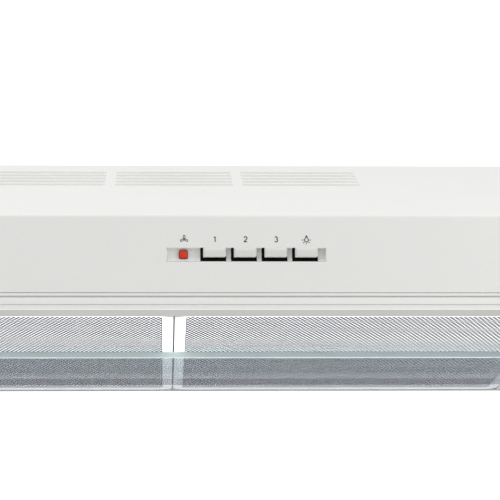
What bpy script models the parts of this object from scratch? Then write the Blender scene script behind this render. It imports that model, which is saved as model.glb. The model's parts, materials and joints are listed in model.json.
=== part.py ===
"""Under cabinet range hood, 600 mm wide, as an assembly of separate pieces.

Frame: metres, +Z up, the front faces -Y, X runs to the right. The origin lies on the
top face, midway between fascia and wall, where the hood is screwed to the cabinet.
"""

import math

import bmesh
import bpy
from mathutils import Matrix, Vector

# Driving dimensions of the housing.
WIDTH = 0.600
DEPTH = 0.482
HEIGHT = 0.150
SLOPE_DEPTH = 0.200
FASCIA_HEIGHT = 0.066
SHEET = 0.001
GAP = 0.0003
REAR_STEP_DEPTH = 0.092
REAR_STEP_RISE = 0.018
TRIM_HEIGHT = 0.0115
RETURN_DEPTH = 0.026

# Vent slots in the sloped face.
SLOT_LENGTH = 0.0867
SLOT_WIDTH = 0.0036
SLOT_GROUP_SPACE = 0.0079
SLOT_GROUP_PITCH = SLOT_LENGTH + SLOT_GROUP_SPACE
SLOT_GROUPS = 3
SLOT_ROWS = 5
SLOT_ROW_PITCH = 0.0139
SLOT_FIRST_ROW = 0.116

# Control strip in the fascia.
STRIP_HEIGHT = 0.009
STRIP_CENTRE_Z = -0.1115
STRIP_DEPTH = 0.004
BUTTON_WIDTH = 0.0157
BUTTON_HEIGHT = 0.0072
BUTTON_COUNT = 4
BUTTON_SPACE = 0.0052
BUTTON_PITCH = BUTTON_WIDTH + BUTTON_SPACE
BUTTON_PROUD = 0.002
BUTTON_TRAVEL = 0.003
STEM_WIDTH = 0.008
STEM_HEIGHT = 0.004
STEM_LENGTH = 0.022
LENS_SIZE = 0.0062
LENS_X = 0.0061
LENS_TO_BUTTON = 0.01035
BUTTON_FIRST_X = LENS_X + LENS_SIZE / 2 + LENS_TO_BUTTON + BUTTON_WIDTH / 2
STRIP_LEFT_MARGIN = 0.0084
STRIP_RIGHT_MARGIN = 0.00565
STRIP_LOW = LENS_X - LENS_SIZE / 2 - STRIP_LEFT_MARGIN
STRIP_HIGH = BUTTON_FIRST_X + (BUTTON_COUNT - 1) * BUTTON_PITCH + BUTTON_WIDTH / 2 + STRIP_RIGHT_MARGIN
STRIP_LENGTH = STRIP_HIGH - STRIP_LOW
STRIP_CENTRE_X = (STRIP_LOW + STRIP_HIGH) / 2
BEZEL_LIP = 0.003
BEZEL_WALL = 0.0015
STEM_CLEARANCE = 0.0005
POCKET_CLEARANCE = 0.0006
SWITCH_DEPTH = 0.030
SWITCH_WALL = 0.003
SWITCH_END_MARGIN = 0.012
SWITCH_HEIGHT = 0.022

# Grease filters.
FILTER_SIDE_MARGIN = 0.0235
FILTER_FRONT = 0.0275
FILTER_LENGTH = 0.3605
FILTER_HEIGHT = 0.009
FILTER_STRIP = 0.008
FILTER_REAR_STRIP = 0.0115
FILTER_CORNER = 0.010
FILTER_JOINT = 0.001
MESH_PACK_HEIGHT = 0.0072
LATCH_LENGTH = 0.036
LATCH_TRAVEL = 0.005
LATCH_SETBACK = 0.060

# Pull-out glass visor.
GLASS_THICKNESS = 0.005
GLASS_SETBACK = 0.162
GLASS_LENGTH = 0.178
GLASS_DROP = 0.003
GLASS_TAIL = 0.004
VISOR_TRAVEL = 0.220
RAIL_WIDTH = 0.013
RAIL_HEIGHT = 0.0125
RAIL_WALL = 0.0012
RAIL_INSET = 0.0015
RAIL_START = 0.004
CARRIAGE_SPARE = 0.008
CARRIAGE_CLEARANCE = 0.0006

# Fan deck and blower.
DECK_DROP = 0.1095
DECK_FRONT = 0.100
BLOWER_DEPTH = 0.246
CHAMBER_HALF = 0.049
IMPELLER_RADIUS = 0.075
SCROLL_START = IMPELLER_RADIUS + 0.009
SCROLL_END = IMPELLER_RADIUS + 0.049
BLOWER_X = CHAMBER_HALF - SCROLL_END
SCROLL_TONGUE = math.radians(40)
SCREW_ANGLES = (math.radians(135), math.radians(225), math.radians(305))
SCREW_ON_CHANNEL = 0.070
SCREW_RADIUS = 0.0019
SCREW_LENGTH = 0.014
BOSS_RADIUS = 0.006
CASING_WALL = 0.002
CASING_TOP = 0.004
INLET_RADIUS = 0.062
IMPELLER_TOP = 0.030
IMPELLER_BOTTOM = 0.098
BLADE_COUNT = 28
BLADE_CHORD = 0.014
MOTOR_RADIUS = 0.040
MOTOR_TOP = 0.0085
MOTOR_BOTTOM = 0.064
SHAFT_RADIUS = 0.004

# Outlet chamber, duct collar and flaps.
CHAMBER_DEPTH = 0.352
COLLAR_DEPTH = 0.402
COLLAR_RADIUS = 0.0495
COLLAR_BORE = 0.047
COLLAR_HEIGHT = 0.032
COLLAR_FLANGE = 0.062
FLAP_THICKNESS = 0.0015
FLAP_LIFT = 0.006
WINDOW_HALF = 0.044
DIVERTER_LENGTH = 0.090
DIVERTER_SHAFT = 0.0025

# Lamps and electrics.
LAMP_X = 0.150
LAMP_DEPTH = 0.060
LAMP_DROP = 0.112
BULB_RADIUS = 0.0175
BULB_LENGTH = 0.062
SOCKET_RADIUS = 0.0145
SOCKET_LENGTH = 0.030
SOCKET_WALL = 0.0035
SOCKET_BASE = 0.010
SOCKET_FOOT = 0.0015
CAPACITOR_RADIUS = 0.015
CAPACITOR_LENGTH = 0.055
BOX_SIZE = (0.080, 0.060, 0.032)
BOX_WALL = 0.002
BOX_X = -0.215
BOX_Z = -0.045
GLAND_RADIUS = 0.009
GLAND_LENGTH = 0.012
CABLE_BORE = 0.0045

ROUND = 40
FRONT_Y = -DEPTH / 2
REAR_Y = DEPTH / 2
BEND_Z = -(HEIGHT - FASCIA_HEIGHT)
LIP_Z = -HEIGHT
SLOPE = math.atan2(-BEND_Z, SLOPE_DEPTH)
DECK_Z = -DECK_DROP
PANEL_X = WIDTH / 2 - SHEET - GAP
GLASS_TOP = LIP_Z - GLASS_DROP
GLASS_HALF = WIDTH / 2 - RAIL_INSET - RAIL_WIDTH - 0.0012
FLAP_NEAR = 0.0046
FLAP_Z = GAP + FLAP_LIFT - 0.001
DIVERTER_AXIS = (CHAMBER_HALF - 0.0055, -0.0115)


def depth(distance):
    """Y of a plane this far behind the fascia."""
    return FRONT_Y + distance


def slope_z(distance):
    """Outer height of the sloped face this far behind the fascia."""
    return BEND_Z * (1 - distance / SLOPE_DEPTH)


def clear_scene():
    for item in list(bpy.data.objects):
        bpy.data.objects.remove(item)


def material(name, colour, roughness, metallic=0.0, alpha=1.0):
    made = bpy.data.materials.new(name)
    made.use_nodes = True
    shader = made.node_tree.nodes["Principled BSDF"]
    shader.inputs["Base Color"].default_value = (*colour, 1)
    shader.inputs["Roughness"].default_value = roughness
    shader.inputs["Metallic"].default_value = metallic
    shader.inputs["Alpha"].default_value = alpha
    return made


def node(name, bm, finish, smooth=False):
    """Turns a bmesh in world coordinates into a named object."""
    bmesh.ops.recalc_face_normals(bm, faces=bm.faces)
    mesh = bpy.data.meshes.new(name)
    bm.to_mesh(mesh)
    bm.free()
    if finish:
        mesh.materials.append(finish)
    if smooth:
        mesh.shade_smooth()
        mesh.set_sharp_from_angle(angle=math.radians(35))
    made = bpy.data.objects.new(name, mesh)
    bpy.context.scene.collection.objects.link(made)
    return made


def add_box(bm, low, high):
    low, high = Vector(low), Vector(high)
    size = high - low
    place = Matrix.Translation((low + high) / 2) @ Matrix.Diagonal((*size, 1))
    return bmesh.ops.create_cube(bm, size=1, matrix=place)["verts"]


def box(low, high):
    bm = bmesh.new()
    add_box(bm, low, high)
    return bm


def prism(points, along, start, end):
    """A flat outline of 2-D points, extruded along one axis from start to end."""
    bm = bmesh.new()
    add_prism(bm, points, along, start, end)
    return bm


def add_prism(bm, points, along, start, end):
    def place(pair, third):
        return {
            "X": (third, pair[0], pair[1]),
            "Y": (pair[0], third, pair[1]),
            "Z": (pair[0], pair[1], third),
        }[along]

    base = bm.faces.new([bm.verts.new(place(pair, start)) for pair in points])
    grown = bmesh.ops.extrude_face_region(bm, geom=[base])["geom"]
    moved = [item for item in grown if isinstance(item, bmesh.types.BMVert)]
    bmesh.ops.translate(bm, verts=moved, vec=Vector(place((0, 0), end - start)))


def turned(profile, centre, axis="Z", steps=ROUND):
    """A closed outline of (radius, height) points, spun round an axis through centre."""
    bm = bmesh.new()
    rim = [bm.verts.new((radius, 0, height)) for radius, height in profile]
    edges = [bm.edges.new(pair) for pair in zip(rim, rim[1:] + rim[:1])
             if max(pair[0].co.x, pair[1].co.x) > 0]
    bmesh.ops.spin(bm, geom=rim + edges, cent=(0, 0, 0), axis=(0, 0, 1),
                   angle=math.tau, steps=steps, use_merge=True, use_duplicate=False)
    bmesh.ops.remove_doubles(bm, verts=bm.verts, dist=1e-6)
    turn = {
        "X": Matrix.Rotation(math.pi / 2, 4, "Y"),
        "Y": Matrix.Rotation(-math.pi / 2, 4, "X"),
        "Z": Matrix.Identity(4),
    }[axis]
    bmesh.ops.transform(bm, matrix=Matrix.Translation(centre) @ turn, verts=bm.verts)
    return bm


def rod(radius, start, end, centre, axis="Z", steps=ROUND):
    return turned([(0, start), (radius, start), (radius, end), (0, end)], centre, axis, steps)


def combine(target, operand, operation="DIFFERENCE"):
    """Adds a live Boolean whose operand, a bmesh or an object, becomes a hidden helper."""
    tool = operand
    if isinstance(operand, bmesh.types.BMesh):
        tool = node(f"{target.name}_tool_{len(target.modifiers)}", operand, None)
    tool.hide_render = True
    tool.display_type = "WIRE"
    modifier = target.modifiers.new(operation.lower(), "BOOLEAN")
    modifier.operation = operation
    modifier.object = tool
    return target


def bevel(target, width, segments=2):
    modifier = target.modifiers.new("bevel", "BEVEL")
    modifier.width = width
    modifier.segments = segments
    modifier.limit_method = "ANGLE"
    return target


def rebase(target, point):
    """Moves the object's origin to a point on its joint's axis, leaving its shape in place."""
    target.data.transform(Matrix.Translation(-Vector(point)))
    target.location = point
    return target


def rounded_outline(low, high, radius, steps=5):
    """Counterclockwise rectangle in X and Y with round corners."""
    corners = [
        (high[0] - radius, high[1] - radius, 0),
        (low[0] + radius, high[1] - radius, 1),
        (low[0] + radius, low[1] + radius, 2),
        (high[0] - radius, low[1] + radius, 3),
    ]
    points = []
    for x, y, quarter in corners:
        for step in range(steps + 1):
            angle = (quarter + step / steps) * math.pi / 2
            points.append((x + radius * math.cos(angle), y + radius * math.sin(angle)))
    return points


def offset_outline(points, distance):
    """Moves each side of a counterclockwise outline outwards by a distance."""
    grown = []
    for before, here, after in zip(points[-1:] + points[:-1], points, points[1:] + points[:1]):
        first = (Vector(here) - Vector(before)).normalized()
        second = (Vector(after) - Vector(here)).normalized()
        normal_a = Vector((first.y, -first.x))
        normal_b = Vector((second.y, -second.x))
        middle = (normal_a + normal_b).normalized()
        grown.append(tuple(Vector(here) + middle * distance / middle.dot(normal_a)))
    return grown


clear_scene()
enamel = material("white_enamel", (0.80, 0.80, 0.77), 0.32)
trim_plastic = material("trim_plastic", (0.82, 0.82, 0.79), 0.40)
button_plastic = material("button_plastic", (0.66, 0.66, 0.64), 0.30)
dark_plastic = material("dark_plastic", (0.05, 0.05, 0.055), 0.50)
grey_plastic = material("grey_plastic", (0.30, 0.31, 0.32), 0.50)
red_lens = material("red_lens", (0.75, 0.05, 0.01), 0.20)
clear_glass = material("clear_glass", (0.80, 0.90, 0.88), 0.05, 0.0, 0.35)
aluminium = material("aluminium", (0.70, 0.70, 0.72), 0.35, 1.0)
zinc_steel = material("zinc_steel", (0.55, 0.56, 0.58), 0.40, 1.0)


def make_canopy_shell():
    """Folded sheet: flat top, sloped face and fascia, with the vents and holes cut in it."""
    bottom = LIP_Z + TRIM_HEIGHT + GAP
    outer = [(REAR_Y, 0), (depth(SLOPE_DEPTH), 0), (FRONT_Y, BEND_Z), (FRONT_Y, bottom)]
    half = SHEET * math.tan(SLOPE / 2)
    quarter = SHEET * math.tan((math.pi / 2 - SLOPE) / 2)
    inner = [
        (FRONT_Y + SHEET, bottom),
        (FRONT_Y + SHEET, BEND_Z - quarter),
        (depth(SLOPE_DEPTH) + half, -SHEET),
        (REAR_Y, -SHEET),
    ]
    shell = node("canopy_shell", prism(outer + inner, "X", -WIDTH / 2, WIDTH / 2), enamel)
    slots = bmesh.new()
    for row in range(SLOT_ROWS):
        distance = SLOT_FIRST_ROW + row * SLOT_ROW_PITCH * math.cos(SLOPE)
        for group in range(SLOT_GROUPS):
            middle = (group - (SLOT_GROUPS - 1) / 2) * SLOT_GROUP_PITCH
            centre = Vector((middle, depth(distance), slope_z(distance)))
            turn = Matrix.Translation(centre) @ Matrix.Rotation(SLOPE, 4, "X")
            size = Matrix.Diagonal((SLOT_LENGTH, SLOT_WIDTH, 8 * SHEET, 1))
            bmesh.ops.create_cube(slots, size=1, matrix=turn @ size)
    combine(shell, slots)
    combine(shell, rod(COLLAR_RADIUS + 0.0005, -0.01, 0.01, (0, depth(COLLAR_DEPTH), 0)))
    window = bmesh.new()
    add_box(window, (STRIP_CENTRE_X - STRIP_LENGTH / 2, FRONT_Y - 0.01, STRIP_CENTRE_Z - STRIP_HEIGHT / 2),
            (STRIP_CENTRE_X + STRIP_LENGTH / 2, FRONT_Y + 0.01, STRIP_CENTRE_Z + STRIP_HEIGHT / 2))
    combine(shell, window)
    return shell


def make_side_panel(side, sign):
    """Flat end wall with an inward flange along its lower edge, under which the rail hangs."""
    inset = SHEET + GAP
    half = inset * math.tan(SLOPE / 2)
    quarter = inset * math.tan((math.pi / 2 - SLOPE) / 2)
    step = depth(DEPTH - REAR_STEP_DEPTH)
    outline = [
        (REAR_Y, -inset),
        (depth(SLOPE_DEPTH) + half, -inset),
        (FRONT_Y + inset, BEND_Z - quarter),
        (FRONT_Y + inset, LIP_Z),
        (step, LIP_Z),
        (step, LIP_Z + REAR_STEP_RISE),
        (REAR_Y, LIP_Z + REAR_STEP_RISE),
    ]
    outer = sign * WIDTH / 2
    inner = sign * (WIDTH / 2 - SHEET)
    panel = node(f"side_panel_{side}", prism(outline, "X", *sorted((outer, inner))), enamel)
    edge = sign * (WIDTH / 2 - FILTER_SIDE_MARGIN + GAP * 2)
    low_x, high_x = sorted((sign * (WIDTH / 2 - SHEET / 2), edge))
    flange = box((low_x, FRONT_Y + RETURN_DEPTH + GAP, LIP_Z), (high_x, step, LIP_Z + SHEET))
    return combine(panel, flange, "UNION")


def make_rear_panel():
    panel = node("rear_panel", box(
        (-PANEL_X, REAR_Y - SHEET, LIP_Z + REAR_STEP_RISE + SHEET + GAP),
        (PANEL_X, REAR_Y, -SHEET - GAP)), enamel)
    hole = (BOX_X, REAR_Y, BOX_Z)
    return combine(panel, rod(GLAND_RADIUS + GAP, -0.01, 0.01, hole, "Y", 24))


def make_rear_underside():
    """Raised floor behind the filters, with an upstand that closes the step."""
    step = depth(DEPTH - REAR_STEP_DEPTH)
    raised = LIP_Z + REAR_STEP_RISE
    outline = [
        (step, raised + SHEET), (step, LIP_Z), (step + SHEET, LIP_Z),
        (step + SHEET, raised), (REAR_Y, raised), (REAR_Y, raised + SHEET),
    ]
    return node("rear_underside_panel", prism(outline, "X", -PANEL_X, PANEL_X), enamel)


def make_front_trim():
    """Moulded rail along the fascia's lower edge: two grooves, a band, a bead and a return."""
    top = LIP_Z + TRIM_HEIGHT
    groove = 0.0006
    outline = [
        (FRONT_Y, top),
        (FRONT_Y, top - 0.0012),
        (FRONT_Y + groove, top - 0.0018),
        (FRONT_Y, top - 0.0024),
        (FRONT_Y, top - 0.0072),
        (FRONT_Y + groove, top - 0.0076),
        (FRONT_Y, top - 0.0080),
        (FRONT_Y, LIP_Z + 0.0004),
        (FRONT_Y + 0.0004, LIP_Z),
        (FRONT_Y + RETURN_DEPTH, LIP_Z),
        (FRONT_Y + RETURN_DEPTH, LIP_Z + 0.0015),
        (FRONT_Y + 0.0025, LIP_Z + 0.0015),
        (FRONT_Y + 0.0025, top),
    ]
    return node("front_trim_rail", prism(outline, "X", -PANEL_X, PANEL_X), trim_plastic)


def button_x(index):
    return BUTTON_FIRST_X + index * BUTTON_PITCH


def add_stem_hole(bm, index, clearance, front, back):
    """Adds the box that one button's stem passes through, with a clearance all round."""
    half_x = STEM_WIDTH / 2 + clearance
    half_z = STEM_HEIGHT / 2 + clearance
    add_box(bm, (button_x(index) - half_x, front, STRIP_CENTRE_Z - half_z),
            (button_x(index) + half_x, back, STRIP_CENTRE_Z + half_z))


def make_control_bezel():
    """Shallow tray behind the fascia's window, with a hole for each stem and for the lens."""
    half_x = STRIP_LENGTH / 2 + BEZEL_LIP
    half_z = STRIP_HEIGHT / 2 + BEZEL_LIP
    front = FRONT_Y + SHEET + GAP
    back = front + STRIP_DEPTH + BEZEL_WALL
    bezel = node("control_bezel", box(
        (STRIP_CENTRE_X - half_x, front, STRIP_CENTRE_Z - half_z),
        (STRIP_CENTRE_X + half_x, back, STRIP_CENTRE_Z + half_z)), trim_plastic)
    combine(bezel, box(
        (STRIP_CENTRE_X - STRIP_LENGTH / 2, front - 0.01, STRIP_CENTRE_Z - STRIP_HEIGHT / 2),
        (STRIP_CENTRE_X + STRIP_LENGTH / 2, back - BEZEL_WALL, STRIP_CENTRE_Z + STRIP_HEIGHT / 2)))
    holes = bmesh.new()
    for index in range(BUTTON_COUNT):
        add_stem_hole(holes, index, STEM_CLEARANCE, front, back + 0.01)
    add_box(holes, (LENS_X - 0.0025, front, STRIP_CENTRE_Z - 0.0025),
            (LENS_X + 0.0025, back + 0.01, STRIP_CENTRE_Z + 0.0025))
    return combine(bezel, holes)


def make_button(name, index):
    """Cap and stem in one, travelling into the switch block."""
    x = button_x(index)
    floor = FRONT_Y + SHEET + GAP + STRIP_DEPTH
    cap_back = floor - BUTTON_TRAVEL - 0.0005
    cap = box((x - BUTTON_WIDTH / 2, FRONT_Y - BUTTON_PROUD, STRIP_CENTRE_Z - BUTTON_HEIGHT / 2),
              (x + BUTTON_WIDTH / 2, cap_back, STRIP_CENTRE_Z + BUTTON_HEIGHT / 2))
    made = node(name, cap, button_plastic)
    stem = box((x - STEM_WIDTH / 2, cap_back - 0.001, STRIP_CENTRE_Z - STEM_HEIGHT / 2),
               (x + STEM_WIDTH / 2, cap_back + STEM_LENGTH, STRIP_CENTRE_Z + STEM_HEIGHT / 2))
    combine(made, stem, "UNION")
    return rebase(made, (x, FRONT_Y, STRIP_CENTRE_Z))


def make_indicator_lens():
    floor = FRONT_Y + SHEET + GAP + STRIP_DEPTH
    half = LENS_SIZE / 2
    lens = node("indicator_lens", box(
        (LENS_X - half, floor - 0.0022, STRIP_CENTRE_Z - half),
        (LENS_X + half, floor - GAP, STRIP_CENTRE_Z + half)), red_lens)
    return combine(lens, box((LENS_X - 0.002, floor - 0.001, STRIP_CENTRE_Z - 0.002),
                             (LENS_X + 0.002, floor + 0.006, STRIP_CENTRE_Z + 0.002)), "UNION")


def make_switch_block():
    """Housing of the push switches, with a pocket for each stem and its spring."""
    front = FRONT_Y + SHEET + GAP + STRIP_DEPTH + BEZEL_WALL + GAP
    back = front + SWITCH_DEPTH
    low_x = button_x(0) - SWITCH_END_MARGIN
    high_x = button_x(BUTTON_COUNT - 1) + SWITCH_END_MARGIN
    block = node("switch_block", box((low_x, front, STRIP_CENTRE_Z - SWITCH_HEIGHT / 2),
                                     (high_x, back, STRIP_CENTRE_Z + SWITCH_HEIGHT / 2)), dark_plastic)
    pockets = bmesh.new()
    for index in range(BUTTON_COUNT):
        add_stem_hole(pockets, index, POCKET_CLEARANCE, front - 0.01, back - SWITCH_WALL)
    return combine(block, pockets)


def filter_limits(sign):
    near = sign * FILTER_JOINT / 2
    far = sign * (WIDTH / 2 - FILTER_SIDE_MARGIN)
    low_x, high_x = sorted((near, far))
    return low_x, high_x, depth(FILTER_FRONT), depth(FILTER_FRONT + FILTER_LENGTH)


def make_filter_tray(side, sign):
    """Folded frame with round corners round the mesh, with a pocket for its catch."""
    low_x, high_x, front, back = filter_limits(sign)
    outline = rounded_outline((low_x, front), (high_x, back), FILTER_CORNER)
    tray = node(f"filter_tray_{side}", prism(outline, "Z", LIP_Z, LIP_Z + FILTER_HEIGHT), aluminium)
    window = rounded_outline((low_x + FILTER_STRIP, front + FILTER_STRIP / 4),
                             (high_x - FILTER_STRIP, back - FILTER_REAR_STRIP), FILTER_CORNER / 3, 3)
    combine(tray, prism(window, "Z", LIP_Z - 0.01, LIP_Z + FILTER_HEIGHT + 0.01))
    edge = sign * (WIDTH / 2 - FILTER_SIDE_MARGIN)
    middle = depth(FILTER_FRONT + LATCH_SETBACK)
    half = LATCH_LENGTH / 2 + 0.0006
    notch_x, out_x = sorted((edge - sign * (LATCH_TRAVEL + 0.0012), edge + sign * 0.01))
    return combine(tray, box((notch_x, middle - half, LIP_Z - 0.01),
                             (out_x, middle + half, LIP_Z + FILTER_HEIGHT + 0.01)))


def make_filter_mesh(side, sign):
    """The pressed pack of aluminium mesh that fills the frame."""
    low_x, high_x, front, back = filter_limits(sign)
    window = rounded_outline(
        (low_x + FILTER_STRIP + GAP, front + FILTER_STRIP / 4 + GAP),
        (high_x - FILTER_STRIP - GAP, back - FILTER_REAR_STRIP - GAP), FILTER_CORNER / 3, 3)
    bottom = LIP_Z + 0.0006
    return node(f"filter_mesh_{side}", prism(window, "Z", bottom, bottom + MESH_PACK_HEIGHT), aluminium)


def make_filter_latch(side, sign):
    """Sliding catch: a plate on top of the frame and a tongue that rests over the side flange."""
    edge = sign * (WIDTH / 2 - FILTER_SIDE_MARGIN)
    y = depth(FILTER_FRONT + LATCH_SETBACK)
    half = LATCH_LENGTH / 2
    bottom = LIP_Z + FILTER_HEIGHT + GAP
    low_x, high_x = sorted((edge - sign * 0.020, edge + sign * 0.0045))
    latch = node(f"filter_latch_{side}", box((low_x, y - half, bottom), (high_x, y + half, bottom + 0.003)),
                 zinc_steel)
    low_x, high_x = sorted((edge - sign * 0.0008, edge + sign * 0.0045))
    tongue = box((low_x, y - half, LIP_Z + SHEET + GAP), (high_x, y + half, bottom + 0.0025))
    combine(latch, tongue, "UNION")
    return rebase(latch, (edge, y, bottom))


def rail_limits(sign):
    outer = sign * (WIDTH / 2 - RAIL_INSET)
    return outer, outer - sign * RAIL_WIDTH


def make_visor_rail(side, sign):
    """Channel that opens inwards, hung under the side flange."""
    outer, inner = rail_limits(sign)
    top = LIP_Z - GAP
    bottom = top - RAIL_HEIGHT
    start, end = depth(RAIL_START), depth(DEPTH - REAR_STEP_DEPTH - 0.002)
    low_x, high_x = sorted((outer, inner))
    rail = node(f"visor_rail_{side}", box((low_x, start, bottom), (high_x, end, top)), zinc_steel)
    web = outer - sign * RAIL_WALL
    low_x, high_x = sorted((web, inner - sign * 0.01))
    hollow = box((low_x, start - 0.01, bottom + RAIL_WALL), (high_x, end + 0.01, top - RAIL_WALL))
    combine(rail, hollow)
    stop_low, stop_high = sorted((outer, inner))
    stop = box((stop_low, end - 0.0015, bottom), (stop_high, end, top))
    return combine(rail, stop, "UNION")


def make_visor_carriage(side, sign):
    """Nylon slide in the channel, with a ledge that carries the glass's edge."""
    outer, inner = rail_limits(sign)
    web = outer - sign * (RAIL_WALL + CARRIAGE_CLEARANCE)
    top = LIP_Z - GAP - RAIL_WALL - CARRIAGE_CLEARANCE
    bottom = LIP_Z - GAP - RAIL_HEIGHT + RAIL_WALL + CARRIAGE_CLEARANCE
    end = depth(GLASS_SETBACK + GLASS_LENGTH - GLASS_TAIL)
    start = depth(RAIL_START + VISOR_TRAVEL + CARRIAGE_SPARE)
    glass_edge = sign * GLASS_HALF
    low_x, high_x = sorted((web, glass_edge + sign * GAP))
    slide = node(f"visor_carriage_{side}", box((low_x, start, bottom), (high_x, end, top)), dark_plastic)
    low_x, high_x = sorted((glass_edge + sign * 0.002, glass_edge - sign * 0.010))
    ledge_top = GLASS_TOP - GLASS_THICKNESS - GAP
    combine(slide, box((low_x, start, ledge_top - 0.0015), (high_x, end, ledge_top)), "UNION")
    return rebase(slide, (glass_edge, start, bottom))


def make_visor_glass():
    glass = node("visor_glass", box(
        (-GLASS_HALF, depth(GLASS_SETBACK), GLASS_TOP - GLASS_THICKNESS),
        (GLASS_HALF, depth(GLASS_SETBACK + GLASS_LENGTH), GLASS_TOP)), clear_glass)
    bevel(glass, 0.0008, 2)
    return rebase(glass, (0, depth(GLASS_SETBACK), GLASS_TOP))


def scroll_radius(angle):
    """Radius of the spiral, which grows evenly from the tongue round to the outlet."""
    share = (angle - SCROLL_TONGUE) / (math.tau - SCROLL_TONGUE)
    return SCROLL_START + share * (SCROLL_END - SCROLL_START)


def scroll_outline():
    """Air path in plan: spiral, outlet channel and chamber, counterclockwise."""
    x, y = BLOWER_X, depth(BLOWER_DEPTH)
    right = x + SCROLL_END
    chamber_front = depth(CHAMBER_DEPTH)
    chamber_back = depth(COLLAR_DEPTH) + CHAMBER_HALF + 0.001
    tongue_x = x + SCROLL_START * math.cos(SCROLL_TONGUE)
    points = [
        (right, y + 0.02),
        (right, chamber_back),
        (-CHAMBER_HALF, chamber_back),
        (-CHAMBER_HALF, chamber_front),
        (tongue_x, chamber_front - 0.012),
    ]
    steps = 30
    for step in range(steps + 1):
        angle = SCROLL_TONGUE + step / steps * (math.tau - SCROLL_TONGUE)
        radius = scroll_radius(angle)
        points.append((x + radius * math.cos(angle), y + radius * math.sin(angle)))
    return points


def screw_spots():
    """Centres of the bosses, each half sunk in the outside of the spiral or the channel."""
    away = CASING_WALL + BOSS_RADIUS * 0.7
    spots = []
    for angle in SCREW_ANGLES:
        radius = scroll_radius(angle) + away
        spots.append((BLOWER_X + radius * math.cos(angle), depth(BLOWER_DEPTH) + radius * math.sin(angle)))
    spots.append((BLOWER_X + SCROLL_END + away, depth(BLOWER_DEPTH) + SCREW_ON_CHANNEL))
    return spots


def below_slope(inset):
    """Wedge that takes away what rises nearer than an inset to the sloped face's outside."""
    drop = inset / math.cos(SLOPE)
    far = SLOPE_DEPTH + 0.05
    high = 0.1
    points = [
        (depth(0), BEND_Z - drop),
        (depth(far), slope_z(far) - drop),
        (depth(far), high),
        (depth(0), high),
    ]
    return prism(points, "X", -WIDTH / 2, WIDTH / 2)


def make_scroll_casing():
    """Moulded spiral and outlet chamber, closed on top and open to the deck below."""
    inner = scroll_outline()
    outer = offset_outline(inner, CASING_WALL)
    floor = DECK_Z + GAP
    casing = node("scroll_casing", prism(outer, "Z", floor, -CASING_TOP), dark_plastic)
    for x, y in screw_spots():
        combine(casing, rod(BOSS_RADIUS, floor, floor + 0.020, (x, y, 0), "Z", 16), "UNION")
    combine(casing, below_slope(CASING_TOP))
    hollow = node("casing_hollow", prism(inner, "Z", floor - 0.01, -CASING_TOP - CASING_WALL), None)
    combine(hollow, below_slope(CASING_TOP + CASING_WALL))
    combine(casing, hollow)
    combine(casing, rod(COLLAR_BORE, -0.02, 0.02, (0, depth(COLLAR_DEPTH), 0)))
    combine(casing, rod(0.030, -0.02, 0.02, (BLOWER_X, depth(BLOWER_DEPTH), 0), "Z", 24))
    pilots = bmesh.new()
    for x, y in screw_spots():
        place = Matrix.Translation((x, y, floor))
        bmesh.ops.create_cone(pilots, cap_ends=True, segments=12, radius1=SCREW_RADIUS + GAP,
                              radius2=SCREW_RADIUS + GAP, depth=0.032, matrix=place)
    combine(casing, pilots)
    middle = depth(COLLAR_DEPTH)
    combine(casing, box((CHAMBER_HALF - 0.004, middle - WINDOW_HALF, DECK_Z + 0.016),
                        (CHAMBER_HALF + 0.01, middle + WINDOW_HALF, -0.018)))
    x, z = DIVERTER_AXIS
    return combine(casing, rod(DIVERTER_SHAFT + GAP, 0, 0.02, (x, middle + CHAMBER_HALF - 0.005, z), "Y", 16))


def make_fan_deck():
    """Sheet that parts the suction side from the blower, with an upstand at its front."""
    front = depth(DECK_FRONT)
    high = slope_z(DECK_FRONT) - SHEET / math.cos(SLOPE) - 0.0008
    outline = [
        (front, high), (front, DECK_Z - SHEET), (REAR_Y - SHEET - GAP, DECK_Z - SHEET),
        (REAR_Y - SHEET - GAP, DECK_Z), (front + SHEET, DECK_Z), (front + SHEET, high),
    ]
    half = WIDTH / 2 - SHEET - GAP
    deck = node("fan_deck", prism(outline, "X", -half, half), zinc_steel)
    combine(deck, rod(INLET_RADIUS + 0.003, -0.2, 0, (BLOWER_X, depth(BLOWER_DEPTH), 0)))
    holes = bmesh.new()
    for x, y in screw_spots():
        place = Matrix.Translation((x, y, DECK_Z))
        bmesh.ops.create_cone(holes, cap_ends=True, segments=12, radius1=SCREW_RADIUS + GAP,
                              radius2=SCREW_RADIUS + GAP, depth=0.02, matrix=place)
    return combine(deck, holes)


def make_blower_screw(number, spot):
    """Pan-head screw driven up through the deck into a boss of the casing."""
    top = DECK_Z - SHEET - GAP
    profile = [(0, -0.0024), (0.0026, -0.0022), (0.0038, -0.0012), (0.0040, 0),
               (SCREW_RADIUS, 0), (SCREW_RADIUS, SCREW_LENGTH), (0, SCREW_LENGTH + 0.0015)]
    return node(f"blower_screw_{number}", turned(profile, (*spot, top), "Z", 14),
                zinc_steel, True)


def make_inlet_ring():
    """Bell mouth that leads the air up into the impeller."""
    low = DECK_Z - SHEET - GAP
    profile = [
        (INLET_RADIUS + 0.010, low), (INLET_RADIUS + 0.010, low - 0.0015),
        (INLET_RADIUS + 0.004, low - 0.0015), (INLET_RADIUS + 0.0005, low + 0.0005),
        (INLET_RADIUS - 0.003, low + 0.006), (INLET_RADIUS - 0.003, low + 0.0075),
        (INLET_RADIUS - 0.0015, low + 0.0075), (INLET_RADIUS + 0.0015, low + 0.0025),
        (INLET_RADIUS + 0.0022, low),
    ]
    return node("inlet_ring", turned(profile, (BLOWER_X, depth(BLOWER_DEPTH), 0)), dark_plastic, True)


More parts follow.
